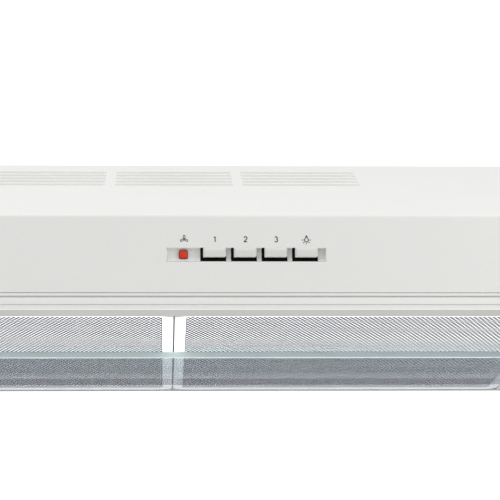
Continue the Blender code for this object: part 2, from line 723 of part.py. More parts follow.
def make_impeller():
    """Drum of curved blades between a domed back plate and a lower ring."""
    centre = (BLOWER_X, depth(BLOWER_DEPTH), 0)
    wall = 0.002
    top, bottom = -IMPELLER_TOP, -IMPELLER_BOTTOM
    dome = MOTOR_RADIUS + 0.006
    hub = SHAFT_RADIUS + GAP
    end = -MOTOR_BOTTOM - 0.010
    inner_x = IMPELLER_RADIUS - BLADE_CHORD
    back = [
        (IMPELLER_RADIUS, top), (IMPELLER_RADIUS, top - wall), (dome + wall, top - wall),
        (dome, end - wall), (hub + 0.005, end - wall), (hub + 0.005, end - 0.008),
        (hub, end - 0.008), (hub, end), (dome - wall, end), (dome, top),
    ]
    wheel = node("impeller_wheel", turned(back, centre), grey_plastic, True)
    parts = bmesh.new()
    thick = 0.0012
    for index in range(BLADE_COUNT):
        turn = Matrix.Translation(Vector(centre)) @ Matrix.Rotation(math.tau * index / BLADE_COUNT, 4, "Z")
        curve = []
        for step in range(4):
            share = step / 3
            radius = inner_x + 0.0005 + share * (BLADE_CHORD - 0.001)
            curve.append((radius, 0.004 * math.sin(math.pi * share) + 0.003 * share))
        outline = curve + [(px, py + thick) for px, py in reversed(curve)]
        blade = prism(outline, "Z", bottom + wall / 2, top - wall / 2)
        bmesh.ops.transform(blade, matrix=turn, verts=blade.verts)
        copy = bpy.data.meshes.new("blade")
        blade.to_mesh(copy)
        blade.free()
        parts.from_mesh(copy)
        bpy.data.meshes.remove(copy)
    combine(wheel, parts, "UNION")
    ring = [(IMPELLER_RADIUS, bottom), (IMPELLER_RADIUS, bottom + wall),
            (inner_x, bottom + wall), (inner_x, bottom)]
    combine(wheel, turned(ring, centre), "UNION")
    return rebase(wheel, (*centre[:2], end))


def make_motor():
    """Motor can with a mounting flange on top and a bore for the shaft."""
    centre = (BLOWER_X, depth(BLOWER_DEPTH), 0)
    flange = MOTOR_TOP + 0.003
    bore = SHAFT_RADIUS + GAP
    profile = [
        (bore, -MOTOR_TOP), (MOTOR_RADIUS - 0.004, -MOTOR_TOP), (MOTOR_RADIUS - 0.004, -flange),
        (MOTOR_RADIUS, -flange - 0.003), (MOTOR_RADIUS, -MOTOR_BOTTOM + 0.004),
        (MOTOR_RADIUS - 0.004, -MOTOR_BOTTOM), (bore, -MOTOR_BOTTOM),
    ]
    return node("fan_motor", turned(profile, centre), zinc_steel, True)


def make_motor_shaft():
    centre = (BLOWER_X, depth(BLOWER_DEPTH), 0)
    shaft = node("motor_shaft", rod(SHAFT_RADIUS, -MOTOR_BOTTOM - 0.016, -MOTOR_TOP - 0.004, centre,
                                    "Z", 20), zinc_steel, True)
    return rebase(shaft, (*centre[:2], -MOTOR_BOTTOM))


def make_motor_bracket():
    """Plate that hangs the motor from the casing's cover."""
    x, y = BLOWER_X, depth(BLOWER_DEPTH)
    top = -CASING_TOP - CASING_WALL - GAP
    bottom = -MOTOR_TOP + GAP
    bracket = node("motor_bracket", rod(MOTOR_RADIUS + 0.004, bottom, top, (x, y, 0), "Z", 32), zinc_steel)
    return combine(bracket, rod(0.010, bottom - 0.01, top + 0.01, (x, y, 0), "Z", 20))


def make_duct_collar():
    """Spigot for the duct, with a flange under the top sheet and a spider bar for the two flaps."""
    centre = (0, depth(COLLAR_DEPTH), 0)
    top = -SHEET - GAP
    bottom = -CASING_TOP + GAP
    profile = [
        (COLLAR_BORE, bottom), (COLLAR_FLANGE, bottom), (COLLAR_FLANGE, top),
        (COLLAR_RADIUS, top), (COLLAR_RADIUS, COLLAR_HEIGHT), (COLLAR_BORE, COLLAR_HEIGHT),
    ]
    collar = node("duct_collar", turned(profile, centre), dark_plastic, True)
    half = 0.002
    bar = box((-COLLAR_BORE - 0.001, centre[1] - half, GAP + 0.0005),
              (COLLAR_BORE + 0.001, centre[1] + half, GAP + FLAP_LIFT))
    return combine(collar, bar, "UNION")


def make_backdraft_flap(side, sign):
    """Half-round leaf that lies across the bore and lifts on a round bead by the spider bar."""
    y = depth(COLLAR_DEPTH)
    radius = COLLAR_BORE - 0.0012
    near = FLAP_NEAR
    steps = 20
    first = math.asin(near / radius)
    points = []
    for step in range(steps + 1):
        angle = first + (math.pi - 2 * first) * step / steps
        points.append((radius * math.cos(angle), y + sign * radius * math.sin(angle)))
    if sign < 0:
        points.reverse()
    bottom = FLAP_Z - FLAP_THICKNESS / 2
    leaf = node(f"backdraft_flap_{side}", prism(points, "Z", bottom, bottom + FLAP_THICKNESS), grey_plastic)
    bead = rod(0.0016, -radius * 0.94, radius * 0.94, (0, y + sign * (near + 0.0004), FLAP_Z), "X", 12)
    combine(leaf, bead, "UNION")
    return rebase(leaf, (0, y + sign * near, FLAP_Z))


def make_diverter_flap():
    """Plate on a shaft, which closes the chamber's side window and swings up under the collar."""
    x, z = DIVERTER_AXIS
    y = depth(COLLAR_DEPTH)
    half = WINDOW_HALF + 0.003
    flap = node("diverter_flap", box((x - 0.0008, y - half, z - DIVERTER_LENGTH), (x + 0.0008, y + half, z)),
                grey_plastic)
    shaft = rod(DIVERTER_SHAFT, -half - 0.0005, half + 0.016, (x, y, z), "Y", 16)
    combine(flap, shaft, "UNION")
    return rebase(flap, (x, y, z))


def make_diverter_lever():
    """Lever on the shaft's rear end, outside the casing."""
    x, z = DIVERTER_AXIS
    start = depth(COLLAR_DEPTH) + WINDOW_HALF + 0.003 + 0.006
    turn = rod(0.0065, start, start + 0.006, (x, 0, z), "Y", 20)
    lever = node("diverter_lever", turn, trim_plastic)
    combine(lever, box((x - 0.004, start, z - 0.050), (x + 0.004, start + 0.006, z - 0.002)), "UNION")
    combine(lever, rod(DIVERTER_SHAFT + 0.0001, start - 0.01, start + 0.02, (x, 0, z), "Y", 16))
    return rebase(lever, (x, start, z))


def make_lamp_holder(side, sign):
    """Lamp socket on an angle that hangs from the deck's upstand."""
    y, z = depth(LAMP_DEPTH), -LAMP_DROP
    start = sign * LAMP_X
    bore = SOCKET_RADIUS - SOCKET_WALL
    profile = [
        (0, 0),
        (SOCKET_RADIUS, 0),
        (SOCKET_RADIUS, SOCKET_LENGTH),
        (bore, SOCKET_LENGTH),
        (bore, SOCKET_BASE),
        (0, SOCKET_BASE),
    ]
    if sign < 0:
        profile = [(radius, -height) for radius, height in profile]
    holder = node(f"lamp_holder_{side}", turned(profile, (start, y, z), "X", 28), trim_plastic, True)
    low_x, high_x = sorted((start - sign * 0.001, start + sign * 0.0015))
    plate = box((low_x, y - 0.012, z - 0.010), (high_x, depth(DECK_FRONT) - GAP, z + 0.012))
    combine(holder, plate, "UNION")
    low_x, high_x = sorted((start - sign * 0.001, start + sign * 0.030))
    foot_back = depth(DECK_FRONT) - GAP
    foot = box((low_x, foot_back - SOCKET_FOOT, z + 0.004), (high_x, foot_back, z + 0.030))
    return combine(holder, foot, "UNION")


def make_lamp_bulb(side, sign):
    """Candle bulb with its screw cap in the socket."""
    y, z = depth(LAMP_DEPTH), -LAMP_DROP
    start = 0.011
    cap = SOCKET_RADIUS - SOCKET_WALL - 0.0004
    neck = SOCKET_LENGTH + 0.001
    profile = [(0, start), (cap, start), (cap, neck)]
    steps = 12
    for step in range(steps + 1):
        share = step / steps
        swell = math.sin(math.pi * (0.12 + 0.88 * share)) ** 0.75 if share < 1 else 0
        profile.append((max(BULB_RADIUS * swell, 0), neck + 0.001 + BULB_LENGTH * share))
    if sign < 0:
        profile = [(radius, -height) for radius, height in profile]
    return node(f"lamp_bulb_{side}", turned(profile, (sign * LAMP_X, y, z), "X", 28), clear_glass, True)


def make_terminal_box():
    """Open tray on the rear panel inside the housing, with the lead-in behind it."""
    x, z = BOX_X, BOX_Z
    width, length, height = BOX_SIZE
    back = REAR_Y - SHEET - GAP
    tray = node("terminal_box", box((x - width / 2, back - length, z - height / 2),
                                    (x + width / 2, back, z + height / 2)), dark_plastic)
    combine(tray, box((x - width / 2 + BOX_WALL, back - length + BOX_WALL, z - height / 2 - 0.01),
                      (x + width / 2 - BOX_WALL, back - BOX_WALL, z + height / 2 - BOX_WALL)))
    return combine(tray, rod(GLAND_RADIUS + GAP, -0.02, 0.02, (x, back, z), "Y", 24))


def make_terminal_lid():
    x, z = BOX_X, BOX_Z
    width, length, height = BOX_SIZE
    back = REAR_Y - SHEET - GAP
    top = z - height / 2 - GAP
    return node("terminal_box_lid", box((x - width / 2, back - length, top - 0.002),
                                        (x + width / 2, back, top)), dark_plastic)


def make_cable_gland():
    """Hollow bush through the rear panel, where the mains lead enters."""
    profile = [(CABLE_BORE, -GLAND_LENGTH), (GLAND_RADIUS, -GLAND_LENGTH), (GLAND_RADIUS, 0), (CABLE_BORE, 0)]
    return node("cable_gland", turned(profile, (BOX_X, REAR_Y, BOX_Z), "Y", 24), dark_plastic, True)


def make_capacitor():
    x, y = 0.110, depth(0.200)
    z = DECK_Z + GAP + 0.004 + CAPACITOR_RADIUS
    profile = [(0, 0), (CAPACITOR_RADIUS - 0.0015, 0), (CAPACITOR_RADIUS, 0.0015),
               (CAPACITOR_RADIUS, CAPACITOR_LENGTH), (0, CAPACITOR_LENGTH)]
    can = node("motor_capacitor", turned(profile, (x, y, z), "Y", 24), zinc_steel, True)
    return combine(can, box((x - 0.008, y + 0.015, DECK_Z + GAP), (x + 0.008, y + 0.030, z - 0.008)), "UNION")


def make_mounting_bracket(side, sign):
    """Angle in each top corner that takes the screws up into the cabinet."""
    outer = sign * (WIDTH / 2 - SHEET - GAP)
    low_x, high_x = sorted((outer, outer - sign * 0.030))
    y0, y1 = depth(SLOPE_DEPTH + 0.020), REAR_Y - SHEET - GAP - 0.004
    top = -SHEET - GAP
    bracket = node(f"mounting_bracket_{side}", box((low_x, y0, top - 0.0015), (high_x, y1, top)), zinc_steel)
    low_x, high_x = sorted((outer, outer - sign * 0.0015))
    return combine(bracket, box((low_x, y0, top - 0.025), (high_x, y1, top)), "UNION")


make_canopy_shell()
make_rear_panel()
make_rear_underside()
make_front_trim()
make_control_bezel()
for order, label in enumerate(("speed_1", "speed_2", "speed_3", "lamp")):
    make_button(f"button_{label}", order)
make_indicator_lens()
make_switch_block()
make_fan_deck()
make_scroll_casing()
make_inlet_ring()
make_impeller()
make_motor()
make_motor_shaft()
make_motor_bracket()
make_capacitor()
make_duct_collar()
make_diverter_flap()
make_diverter_lever()
make_terminal_box()
make_terminal_lid()
make_cable_gland()
make_visor_glass()
for order, spot in enumerate(screw_spots()):
    make_blower_screw(order + 1, spot)
for side, sign in (("left", -1), ("right", 1)):
    make_side_panel(side, sign)
    make_filter_tray(side, sign)
    make_filter_mesh(side, sign)
    make_filter_latch(side, sign)
    make_visor_rail(side, sign)
    make_visor_carriage(side, sign)
    make_lamp_holder(side, sign)
    make_lamp_bulb(side, sign)
    make_mounting_bracket(side, sign)
for side, sign in (("front", -1), ("rear", 1)):
    make_backdraft_flap(side, sign)
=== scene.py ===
# %% [markdown]
# # Under cabinet range hood
# A slim white cooker hood, made to be screwed under a wall cabinet. Air is drawn up
# through two aluminium mesh filters, and a blower sends it out of a collar on top, or back
# into the room through louvres in the sloped face. The solids that fix its sizes and its
# joints are loaded first, and every piece below takes its place from their boxes.

# %% Load the frame
import json
import math

import bmesh
import bpy
import numpy as np
from mathutils import Euler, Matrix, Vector


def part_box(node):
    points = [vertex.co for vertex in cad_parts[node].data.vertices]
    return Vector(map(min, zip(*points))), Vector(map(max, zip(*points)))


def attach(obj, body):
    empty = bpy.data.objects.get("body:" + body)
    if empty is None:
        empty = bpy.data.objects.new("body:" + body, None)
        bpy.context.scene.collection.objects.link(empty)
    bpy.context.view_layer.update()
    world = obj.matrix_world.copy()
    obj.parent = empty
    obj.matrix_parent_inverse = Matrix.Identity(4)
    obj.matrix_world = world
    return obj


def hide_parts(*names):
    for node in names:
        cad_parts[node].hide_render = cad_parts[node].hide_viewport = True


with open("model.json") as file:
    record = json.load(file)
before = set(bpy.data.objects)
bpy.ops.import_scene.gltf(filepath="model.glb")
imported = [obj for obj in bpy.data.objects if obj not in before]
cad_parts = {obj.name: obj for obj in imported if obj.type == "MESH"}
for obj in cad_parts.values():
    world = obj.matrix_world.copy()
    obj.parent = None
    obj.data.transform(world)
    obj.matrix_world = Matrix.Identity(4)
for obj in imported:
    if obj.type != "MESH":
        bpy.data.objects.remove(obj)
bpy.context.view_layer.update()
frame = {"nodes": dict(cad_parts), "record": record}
MM = 0.001

# %% [markdown]
# ## Camera
# The hood is seen from a little below its lower edge, from across the kitchen, with a long
# lens, so that the parallel edges stay almost parallel. A longer lens from further away
# flattens the underside more, a shorter one spreads the filters out. The view is a close one
# on the controls: the ends of the hood lie outside it.

# %% Camera
LENS = 156.0
CAMERA_PLACE = (-0.0060, -1.6861, -0.4080)
CAMERA_PITCH = 11.69
CAMERA_YAW = 2.278
CAMERA_ROLL = -0.402

camera_data = bpy.data.cameras.new("camera")
camera_data.lens = LENS
camera_data.sensor_width = 36.0
camera = bpy.data.objects.new("camera", camera_data)
bpy.context.scene.collection.objects.link(camera)
camera.location = CAMERA_PLACE
heading = Euler((math.radians(90 + CAMERA_PITCH), 0, math.radians(-CAMERA_YAW)), "XYZ").to_matrix()
camera.rotation_euler = (heading @ Euler((0, 0, math.radians(CAMERA_ROLL))).to_matrix()).to_euler()
bpy.context.scene.camera = camera
print("camera looks up by", CAMERA_PITCH, "degrees")

# %% [markdown]
# ## Node helpers
# Both the sky and the finishes are small networks of arithmetic. Written out link by link they
# would hide what is joined to what, so two short functions join sockets and set numbers.


# %% Node helpers
def link(tree, source, target):
    tree.links.new(source, target)


def math_node(tree, operation, *values):
    """A Math node whose inputs are sockets or plain numbers."""
    made = tree.nodes.new("ShaderNodeMath")
    made.operation = operation
    for index, value in enumerate(values):
        if isinstance(value, (int, float)):
            made.inputs[index].default_value = value
        else:
            tree.links.new(value, made.inputs[index])
    return made.outputs[0]


print("node helpers ready")

# %% [markdown]
# ## Light and floor
# White enamel shows its folds only by small steps of brightness, so the light is large and
# soft: a white sky that is stronger above than below, broad panels above and at both sides,
# and a panel far below that lights the filters. A small one near the right end puts a slow
# gradient on the fascia. The sky is darker low behind the hood, where a kitchen wall would be,
# so the glass reflects little. A hard light would draw shadows of the buttons that are longer
# than the buttons.

# %% Light and floor
FLOOR_Z = -2.5
world = bpy.data.worlds.new("white_room")
bpy.context.scene.world = world
world.use_nodes = True
sky = world.node_tree
sky.nodes.clear()


def sky_node(kind, **values):
    """Adds a node to the world and sets its named inputs."""
    made = sky.nodes.new(kind)
    for key, value in values.items():
        made.inputs[key.replace("_", " ")].default_value = value
    return made


SKY_UP, SKY_LEVEL, SKY_DOWN = 1.02, 0.50, 0.22
WALL_SHADE = 0.24
WALL_CENTRE, WALL_SPREAD = -0.15, 2.5
position = sky.nodes.new("ShaderNodeTexCoord")
split = sky.nodes.new("ShaderNodeSeparateXYZ")
ramp = sky.nodes.new("ShaderNodeValToRGB")
remap = sky.nodes.new("ShaderNodeMapRange")
remap.inputs["From Min"].default_value = -1.0
path = sky.nodes.new("ShaderNodeLightPath")
for_camera = sky_node("ShaderNodeBackground", Color=(1, 1, 1, 1), Strength=1.15)
for_light = sky_node("ShaderNodeBackground", Strength=1.0)
choose = sky.nodes.new("ShaderNodeMixShader")
out = sky.nodes.new("ShaderNodeOutputWorld")
elements = ramp.color_ramp.elements
elements[0].color = (SKY_DOWN, SKY_DOWN, SKY_DOWN * 1.02, 1)
elements[1].color = (SKY_UP, SKY_UP, SKY_UP, 1)
middle = elements.new(0.5)
middle.color = (SKY_LEVEL, SKY_LEVEL, SKY_LEVEL, 1)
link(sky, position.outputs["Generated"], split.inputs[0])
link(sky, split.outputs["Z"], remap.inputs["Value"])
link(sky, remap.outputs["Result"], ramp.inputs["Fac"])
from_wall = math_node(sky, "ABSOLUTE", math_node(sky, "ADD", split.outputs["Z"], -WALL_CENTRE))
near_wall = math_node(sky, "MAXIMUM", math_node(sky, "MULTIPLY_ADD", from_wall, -WALL_SPREAD, 1.0), 0.0)
behind = sky_node("ShaderNodeMapRange", From_Min=0.1, From_Max=0.8, To_Min=1.0, To_Max=WALL_SHADE)
link(sky, math_node(sky, "MULTIPLY", split.outputs["Y"], near_wall), behind.inputs["Value"])
link(sky, behind.outputs["Result"], for_light.inputs["Strength"])
link(sky, ramp.outputs["Color"], for_light.inputs["Color"])
link(sky, path.outputs["Is Camera Ray"], choose.inputs["Fac"])
link(sky, for_light.outputs[0], choose.inputs[1])
link(sky, for_camera.outputs[0], choose.inputs[2])
link(sky, choose.outputs[0], out.inputs["Surface"])


def soft_panel(name, place, aim, size, power):
    """A square area light that faces the point aim and isn't seen itself."""
    data = bpy.data.lights.new(name, "AREA")
    data.shape = "SQUARE"
    data.size = size
    data.energy = power
    panel = bpy.data.objects.new(name, data)
    bpy.context.scene.collection.objects.link(panel)
    panel.location = place
    panel.rotation_euler = (Vector(aim) - Vector(place)).to_track_quat("-Z", "Y").to_euler()
    panel.visible_camera = False
    return panel


soft_panel("panel_above", (-0.60, -0.75, 1.10), (0, -0.1, -0.05), 1.0, 3.9)
soft_panel("panel_right", (1.5, -1.5, 0.1), (0.1, -0.2, -0.1), 1.2, 4.5)
soft_panel("panel_below", (0, 0.35, -2.1), (0, 0, -0.15), 1.5, 56)
soft_panel("panel_near_right", (0.46, -0.50, -0.04), (0.17, -0.24, -0.10), 0.2, 0.15)
soft_panel("panel_left", (-1.6, -1.4, 0.0), (-0.1, -0.2, -0.1), 1.2, 1.5)
bpy.context.scene.view_settings.view_transform = "Standard"
print("five soft panels, floor at", FLOOR_Z)

# %% [markdown]
# ## Surfaces from arrays
# Most pieces are a profile carried along a line, or a band between two outlines. Both are a
# grid of points, so one helper turns a grid into a mesh. Pushing and pulling a cube by hand
# would give the same shape once, but the grid keeps its meaning: rows run one way over the
# piece and columns the other.


# %% Mesh helpers
WELD_DISTANCE = 0.001 * MM


def new_piece(name, body, material, vertices, faces, smooth=True, weld=True, recalculate=True, angle=30):
    """Makes one object at the origin from arrays.

    Points closer than a thousandth of a millimetre become one, and the faces are turned
    outwards, unless weld or recalculate says not to. Edges sharper than the angle stay sharp."""
    mesh = bpy.data.meshes.new(name)
    mesh.from_pydata(np.asarray(vertices).reshape(-1, 3), [], [list(face) for face in faces])
    mesh.validate()
    work = bmesh.new()
    work.from_mesh(mesh)
    if weld:
        bmesh.ops.remove_doubles(work, verts=work.verts, dist=WELD_DISTANCE)
    if recalculate:
        bmesh.ops.recalc_face_normals(work, faces=work.faces)
    work.to_mesh(mesh)
    work.free()
    if smooth:
        mesh.shade_smooth()
        mesh.set_sharp_from_angle(angle=math.radians(angle))
    mesh.materials.append(material)
    made = bpy.data.objects.new(name, mesh)
    bpy.context.scene.collection.objects.link(made)
    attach(made, body)
    return made


def grid_faces(rows, columns, close_rows=False, close_columns=False, first=0):
    """Quads between neighbours in a grid whose point (r, c) has the number r * columns + c."""
    r = np.arange(rows if close_rows else rows - 1)
    c = np.arange(columns if close_columns else columns - 1)
    r, c = np.meshgrid(r, c, indexing="ij")
    r2, c2 = (r + 1) % rows, (c + 1) % columns
    quads = np.stack([r * columns + c, r * columns + c2, r2 * columns + c2, r2 * columns + c], -1)
    return quads.reshape(-1, 4) + first


def arc(centre, radius, start, end, steps=8):
    """Points on a circle: centre plus radius times the cosine and sine of an evenly growing angle."""
    angle = np.radians(np.linspace(start, end, steps + 1))
    return np.stack([centre[0] + radius * np.cos(angle), centre[1] + radius * np.sin(angle)], -1)


def carried(profile, low_x, high_x):
    """A closed (y, z) outline carried along X, with both ends filled."""
    profile = np.asarray(profile)
    count = len(profile)
    ends = [np.column_stack([np.full(count, x), profile]) for x in (low_x, high_x)]
    faces = grid_faces(2, count, close_columns=True).tolist()
    faces.append(list(range(count)))
    faces.append(list(range(2 * count - 1, count - 1, -1)))
    return np.concatenate(ends), faces


def new_carried(name, body, material, profile, low_x, high_x, angle=30):
    """As carried, made into an object."""
    vertices, faces = carried(profile, low_x, high_x)
    return new_piece(name, body, material, vertices, faces, angle=angle)


def rounded_rectangle(low, high, radii, steps=6):
    """Counterclockwise outline with a round corner of its own radius at each corner.

    The corners follow each other from the one at (high, high) through (low, high),
    (low, low) and (high, low); each is a quarter circle that touches both its sides."""
    signs = ((1, 1), (-1, 1), (-1, -1), (1, -1))
    stretches = []
    for quarter, ((sx, sy), radius) in enumerate(zip(signs, radii)):
        corner = (high[0] if sx > 0 else low[0], high[1] if sy > 0 else low[1])
        centre = (corner[0] - sx * radius, corner[1] - sy * radius)
        stretches.append(arc(centre, radius, 90 * quarter, 90 * quarter + 90, steps))
    return np.concatenate(stretches)


def band(outer, inner, section):
    """A closed ring: each (t, z) of the section lies a share t of the way from outer to inner."""
    section = np.asarray(section)
    share = section[None, :, 0:1]
    plane = outer[:, None, :] * (1 - share) + inner[:, None, :] * share
    height = np.broadcast_to(section[None, :, 1:2], (len(outer), len(section), 1))
    points = np.concatenate([plane, height], -1)
    return points.reshape(-1, 3), grid_faces(len(outer), len(section), True, True)


def closed_levels(levels):
    """Outlines of equal length joined one after the other, with both ends filled."""
    count = len(levels[0])
    last = (len(levels) - 1) * count
    faces = grid_faces(len(levels), count, close_columns=True).tolist()
    faces.append(list(range(count)))
    faces.append(list(range(last + count - 1, last - 1, -1)))
    return np.concatenate(levels), faces


def upright(outline, y):
    """An (x, z) outline stood up at one depth y."""
    return np.column_stack([outline[:, 0], np.full(len(outline), y), outline[:, 1]])


def face_values(piece, field):
    """The normals or centres of all faces as an array with one row per face."""
    values = np.empty(len(piece.data.polygons) * 3)
    piece.data.polygons.foreach_get(field, values)
    return values.reshape(-1, 3)


def thicken(piece, thickness, offset=-1.0, angle=30):
    """Gives a sheet its thickness, then marks the edges of the new rim as sharp."""
    modifier = piece.modifiers.new("sheet", "SOLIDIFY")
    modifier.thickness = thickness
    modifier.offset = offset
    bpy.context.view_layer.update()
    solid = bpy.data.meshes.new_from_object(piece.evaluated_get(bpy.context.evaluated_depsgraph_get()))
    piece.modifiers.clear()
    piece.data = solid
    solid.shade_smooth()
    solid.set_sharp_from_angle(angle=math.radians(angle))
    return piece


print("helpers ready")

# %% [markdown]
# ## Shader groups
# Two effects come back in several finishes. Surface variation adds a slow ripple, as in baked
# enamel, to the fine sand of a moulded surface. Brushing is a stretched noise that follows one
# direction, as rolling leaves it on sheet metal. The same nodes could be copied into every
# material, but a group is made once and changes everywhere together. Each group gives out only
# heights and masks, and the shader itself stays in the material.


# %% Shader groups
def new_group(name, inputs, outputs):
    """An empty node group with float inputs (name, value) and named outputs (name, kind)."""
    group = bpy.data.node_groups.new(name, "ShaderNodeTree")
    for label, value in inputs:
        socket = group.interface.new_socket(label, in_out="INPUT", socket_type="NodeSocketFloat")
        socket.default_value = value
    for label, kind in outputs:
        group.interface.new_socket(label, in_out="OUTPUT", socket_type=kind)
    return group, group.nodes.new("NodeGroupInput"), group.nodes.new("NodeGroupOutput")


def object_noise(tree, scale, detail=3.0, stretch=(1, 1, 1)):
    """Noise read from Object coordinates, which a Mapping node may stretch."""
    place = tree.nodes.new("ShaderNodeTexCoord")
    mapping = tree.nodes.new("ShaderNodeMapping")
    mapping.inputs["Scale"].default_value = stretch
    noise = tree.nodes.new("ShaderNodeTexNoise")
    noise.inputs["Detail"].default_value = detail
    if isinstance(scale, (int, float)):
        noise.inputs["Scale"].default_value = scale
    else:
        link(tree, scale, noise.inputs["Scale"])
    link(tree, place.outputs["Object"], mapping.inputs["Vector"])
    link(tree, mapping.outputs[0], noise.inputs["Vector"])
    return noise.outputs["Fac"]


FLOAT = "NodeSocketFloat"
ripple_inputs = [("Scale", 40.0), ("Fine scale", 900.0), ("Fine share", 0.3)]
group, given, result = new_group("surface_variation", ripple_inputs, [("Height", FLOAT), ("Mask", FLOAT)])
slow = object_noise(group, given.outputs["Scale"], 2.0)
fine = object_noise(group, given.outputs["Fine scale"], 4.0)
rest = math_node(group, "SUBTRACT", 1.0, given.outputs["Fine share"])
mixed = math_node(group, "ADD", math_node(group, "MULTIPLY", slow, rest),
                  math_node(group, "MULTIPLY", fine, given.outputs["Fine share"]))
link(group, mixed, result.inputs["Height"])
link(group, slow, result.inputs["Mask"])
VARIATION = group

group, given, result = new_group("brushing", [("Scale", 220.0)], [("Height", FLOAT)])
link(group, object_noise(group, given.outputs["Scale"], 5.0, (0.03, 1.0, 1.0)), result.inputs["Height"])
BRUSHING = group
print("groups:", VARIATION.name, BRUSHING.name)

# %% [markdown]
# ## Finishes
# The real hood is baked enamel, moulded plastic, aluminium, zinc-coated steel and glass. Every
# finish is a Principled shader fed by those groups: a little tint over large areas, a roughness
# that isn't quite even and a bump that only shows in a glancing light. Plain colours would look
# like paint chips, and painted images would tie the finish to one piece and one size.


# %% Finishes
def finish(name, colour, roughness, metallic=0.0, tint=0.03, spread=0.06, bump=0.02, scale=30.0,
           fine=900.0, fine_share=0.3, brushed=False, coat=0.0, coat_rough=0.12, transmission=0.0, ior=1.5,
           specular=0.5):
    """A Principled material with colour, roughness and bump varied over the surface."""
    made = bpy.data.materials.new(name)
    made.use_nodes = True
    tree = made.node_tree
    shader = tree.nodes["Principled BSDF"]
    shader.inputs["Metallic"].default_value = metallic
    shader.inputs["Coat Weight"].default_value = coat
    shader.inputs["Coat Roughness"].default_value = coat_rough
    shader.inputs["Transmission Weight"].default_value = transmission
    shader.inputs["IOR"].default_value = ior
    shader.inputs["Specular IOR Level"].default_value = specular
    source = tree.nodes.new("ShaderNodeGroup")
    source.node_tree = VARIATION
    source.inputs["Scale"].default_value = scale
    source.inputs["Fine scale"].default_value = fine
    source.inputs["Fine share"].default_value = fine_share
    blend = tree.nodes.new("ShaderNodeMix")
    blend.data_type = "RGBA"
    blend.inputs["A"].default_value = (*[c * (1 - tint) for c in colour], 1)
    blend.inputs["B"].default_value = (*[min(c * (1 + tint), 1) for c in colour], 1)
    link(tree, source.outputs["Mask"], blend.inputs["Factor"])
    link(tree, blend.outputs["Result"], shader.inputs["Base Color"])
    rough = math_node(tree, "MULTIPLY_ADD", source.outputs["Height"], spread, roughness - spread / 2)
    link(tree, rough, shader.inputs["Roughness"])
    height = source.outputs["Height"]
    if brushed:
        lines = tree.nodes.new("ShaderNodeGroup")
        lines.node_tree = BRUSHING
        height = math_node(tree, "ADD", height, lines.outputs["Height"])
    relief = tree.nodes.new("ShaderNodeBump")
    relief.inputs["Strength"].default_value = bump
    relief.inputs["Distance"].default_value = 0.001
    link(tree, height, relief.inputs["Height"])
    link(tree, relief.outputs[0], shader.inputs["Normal"])
    return made


enamel = finish("enamel", (0.875, 0.880, 0.852), 0.34, tint=0.012, bump=0.10, scale=14, fine=420, coat=0.15)
white_trim = finish("white_trim", (0.890, 0.888, 0.868), 0.30, tint=0.012, bump=0.06, scale=18, fine=700)
# The trough takes a slightly darker copy of the trim white: painted shade.
trough_white_painted_shade = finish("trough_white_painted_shade", (0.860, 0.855, 0.835), 0.34, tint=0.012, bump=0.06, scale=18, fine=700)
# The underside return of the white trim takes a dark grey copy of the white: painted shade.
trim_return_painted_shade = finish("trim_return_painted_shade", (0.300, 0.297, 0.280), 0.45, tint=0.05, bump=0.06, scale=18, fine=700)
button_grey = finish("button_grey", (0.760, 0.755, 0.735), 0.30, tint=0.015, bump=0.05, scale=60, fine=1500)
# Near-black plate finish for the button wells: painted shade for the dark inside of the hood.
well_painted_shade = finish("well_painted_shade", (0.004, 0.004, 0.004), 0.75, tint=0.2, bump=0.08, scale=80, specular=0.2)
# Near-black finish for the seam band: painted shade for the gap round the trough.
seam_painted_shade = finish("seam_painted_shade", (0.055, 0.054, 0.050), 0.60, tint=0.1, bump=0.05, scale=80)
icon_ink = finish("icon_ink", (0.030, 0.032, 0.032), 0.60, tint=0.1, bump=0.03, scale=300)
red_lens = finish("red_lens", (0.720, 0.042, 0.010), 0.30, tint=0.08, bump=0.02, scale=200, specular=0.35)
red_rim = finish("red_rim", (0.200, 0.030, 0.012), 0.35, tint=0.1, scale=200)
dark_plastic = finish("dark_plastic", (0.028, 0.028, 0.030), 0.48, tint=0.15, bump=0.25, scale=60, fine=1600,
                      fine_share=0.7)
grey_plastic = finish("grey_plastic", (0.200, 0.205, 0.212), 0.45, tint=0.08, bump=0.2, scale=50, fine=1400,
                      fine_share=0.7)
socket_ceramic = finish("socket_ceramic", (0.780, 0.765, 0.720), 0.40, tint=0.03, bump=0.1, scale=60)
frame_metal = finish("frame_metal", (0.930, 0.935, 0.950), 0.38, metallic=0.05, tint=0.02, bump=0.05, scale=25)
mesh_metal = finish("mesh_metal", (0.940, 0.945, 0.975), 0.40, metallic=0.10, tint=0.05, bump=0.12, scale=40,
                    fine=1500)
# Near-black finish for the hole walls and the layers above the mesh: painted shade.
mesh_painted_shade = finish("mesh_painted_shade", (0.035, 0.038, 0.045), 0.60, metallic=0.3, tint=0.35, bump=0.6, scale=300,
                    fine=1800, fine_share=0.6)
zinc_steel = finish("zinc_steel", (0.600, 0.610, 0.625), 0.36, metallic=1.0, tint=0.10, spread=0.14, bump=0.10,
                    scale=22, brushed=True)
motor_steel = finish("motor_steel", (0.420, 0.430, 0.440), 0.38, metallic=1.0, tint=0.10, bump=0.12,
                     brushed=True)
can_metal = finish("can_metal", (0.720, 0.725, 0.735), 0.30, metallic=1.0, tint=0.05, bump=0.05, brushed=True)
visor_glass = finish("visor_glass", (0.850, 0.880, 0.930), 0.0, tint=0.01, spread=0.0, bump=0.0,
                     transmission=1.0, ior=1.0, coat=1.0, coat_rough=0.0)
glass_edge = finish("glass_edge", (0.620, 0.720, 0.720), 0.22, tint=0.06, bump=0.05, scale=60)
bulb_glass = finish("bulb_glass", (0.930, 0.930, 0.910), 0.05, tint=0.01, spread=0.01, bump=0.0,
                    transmission=1.0)


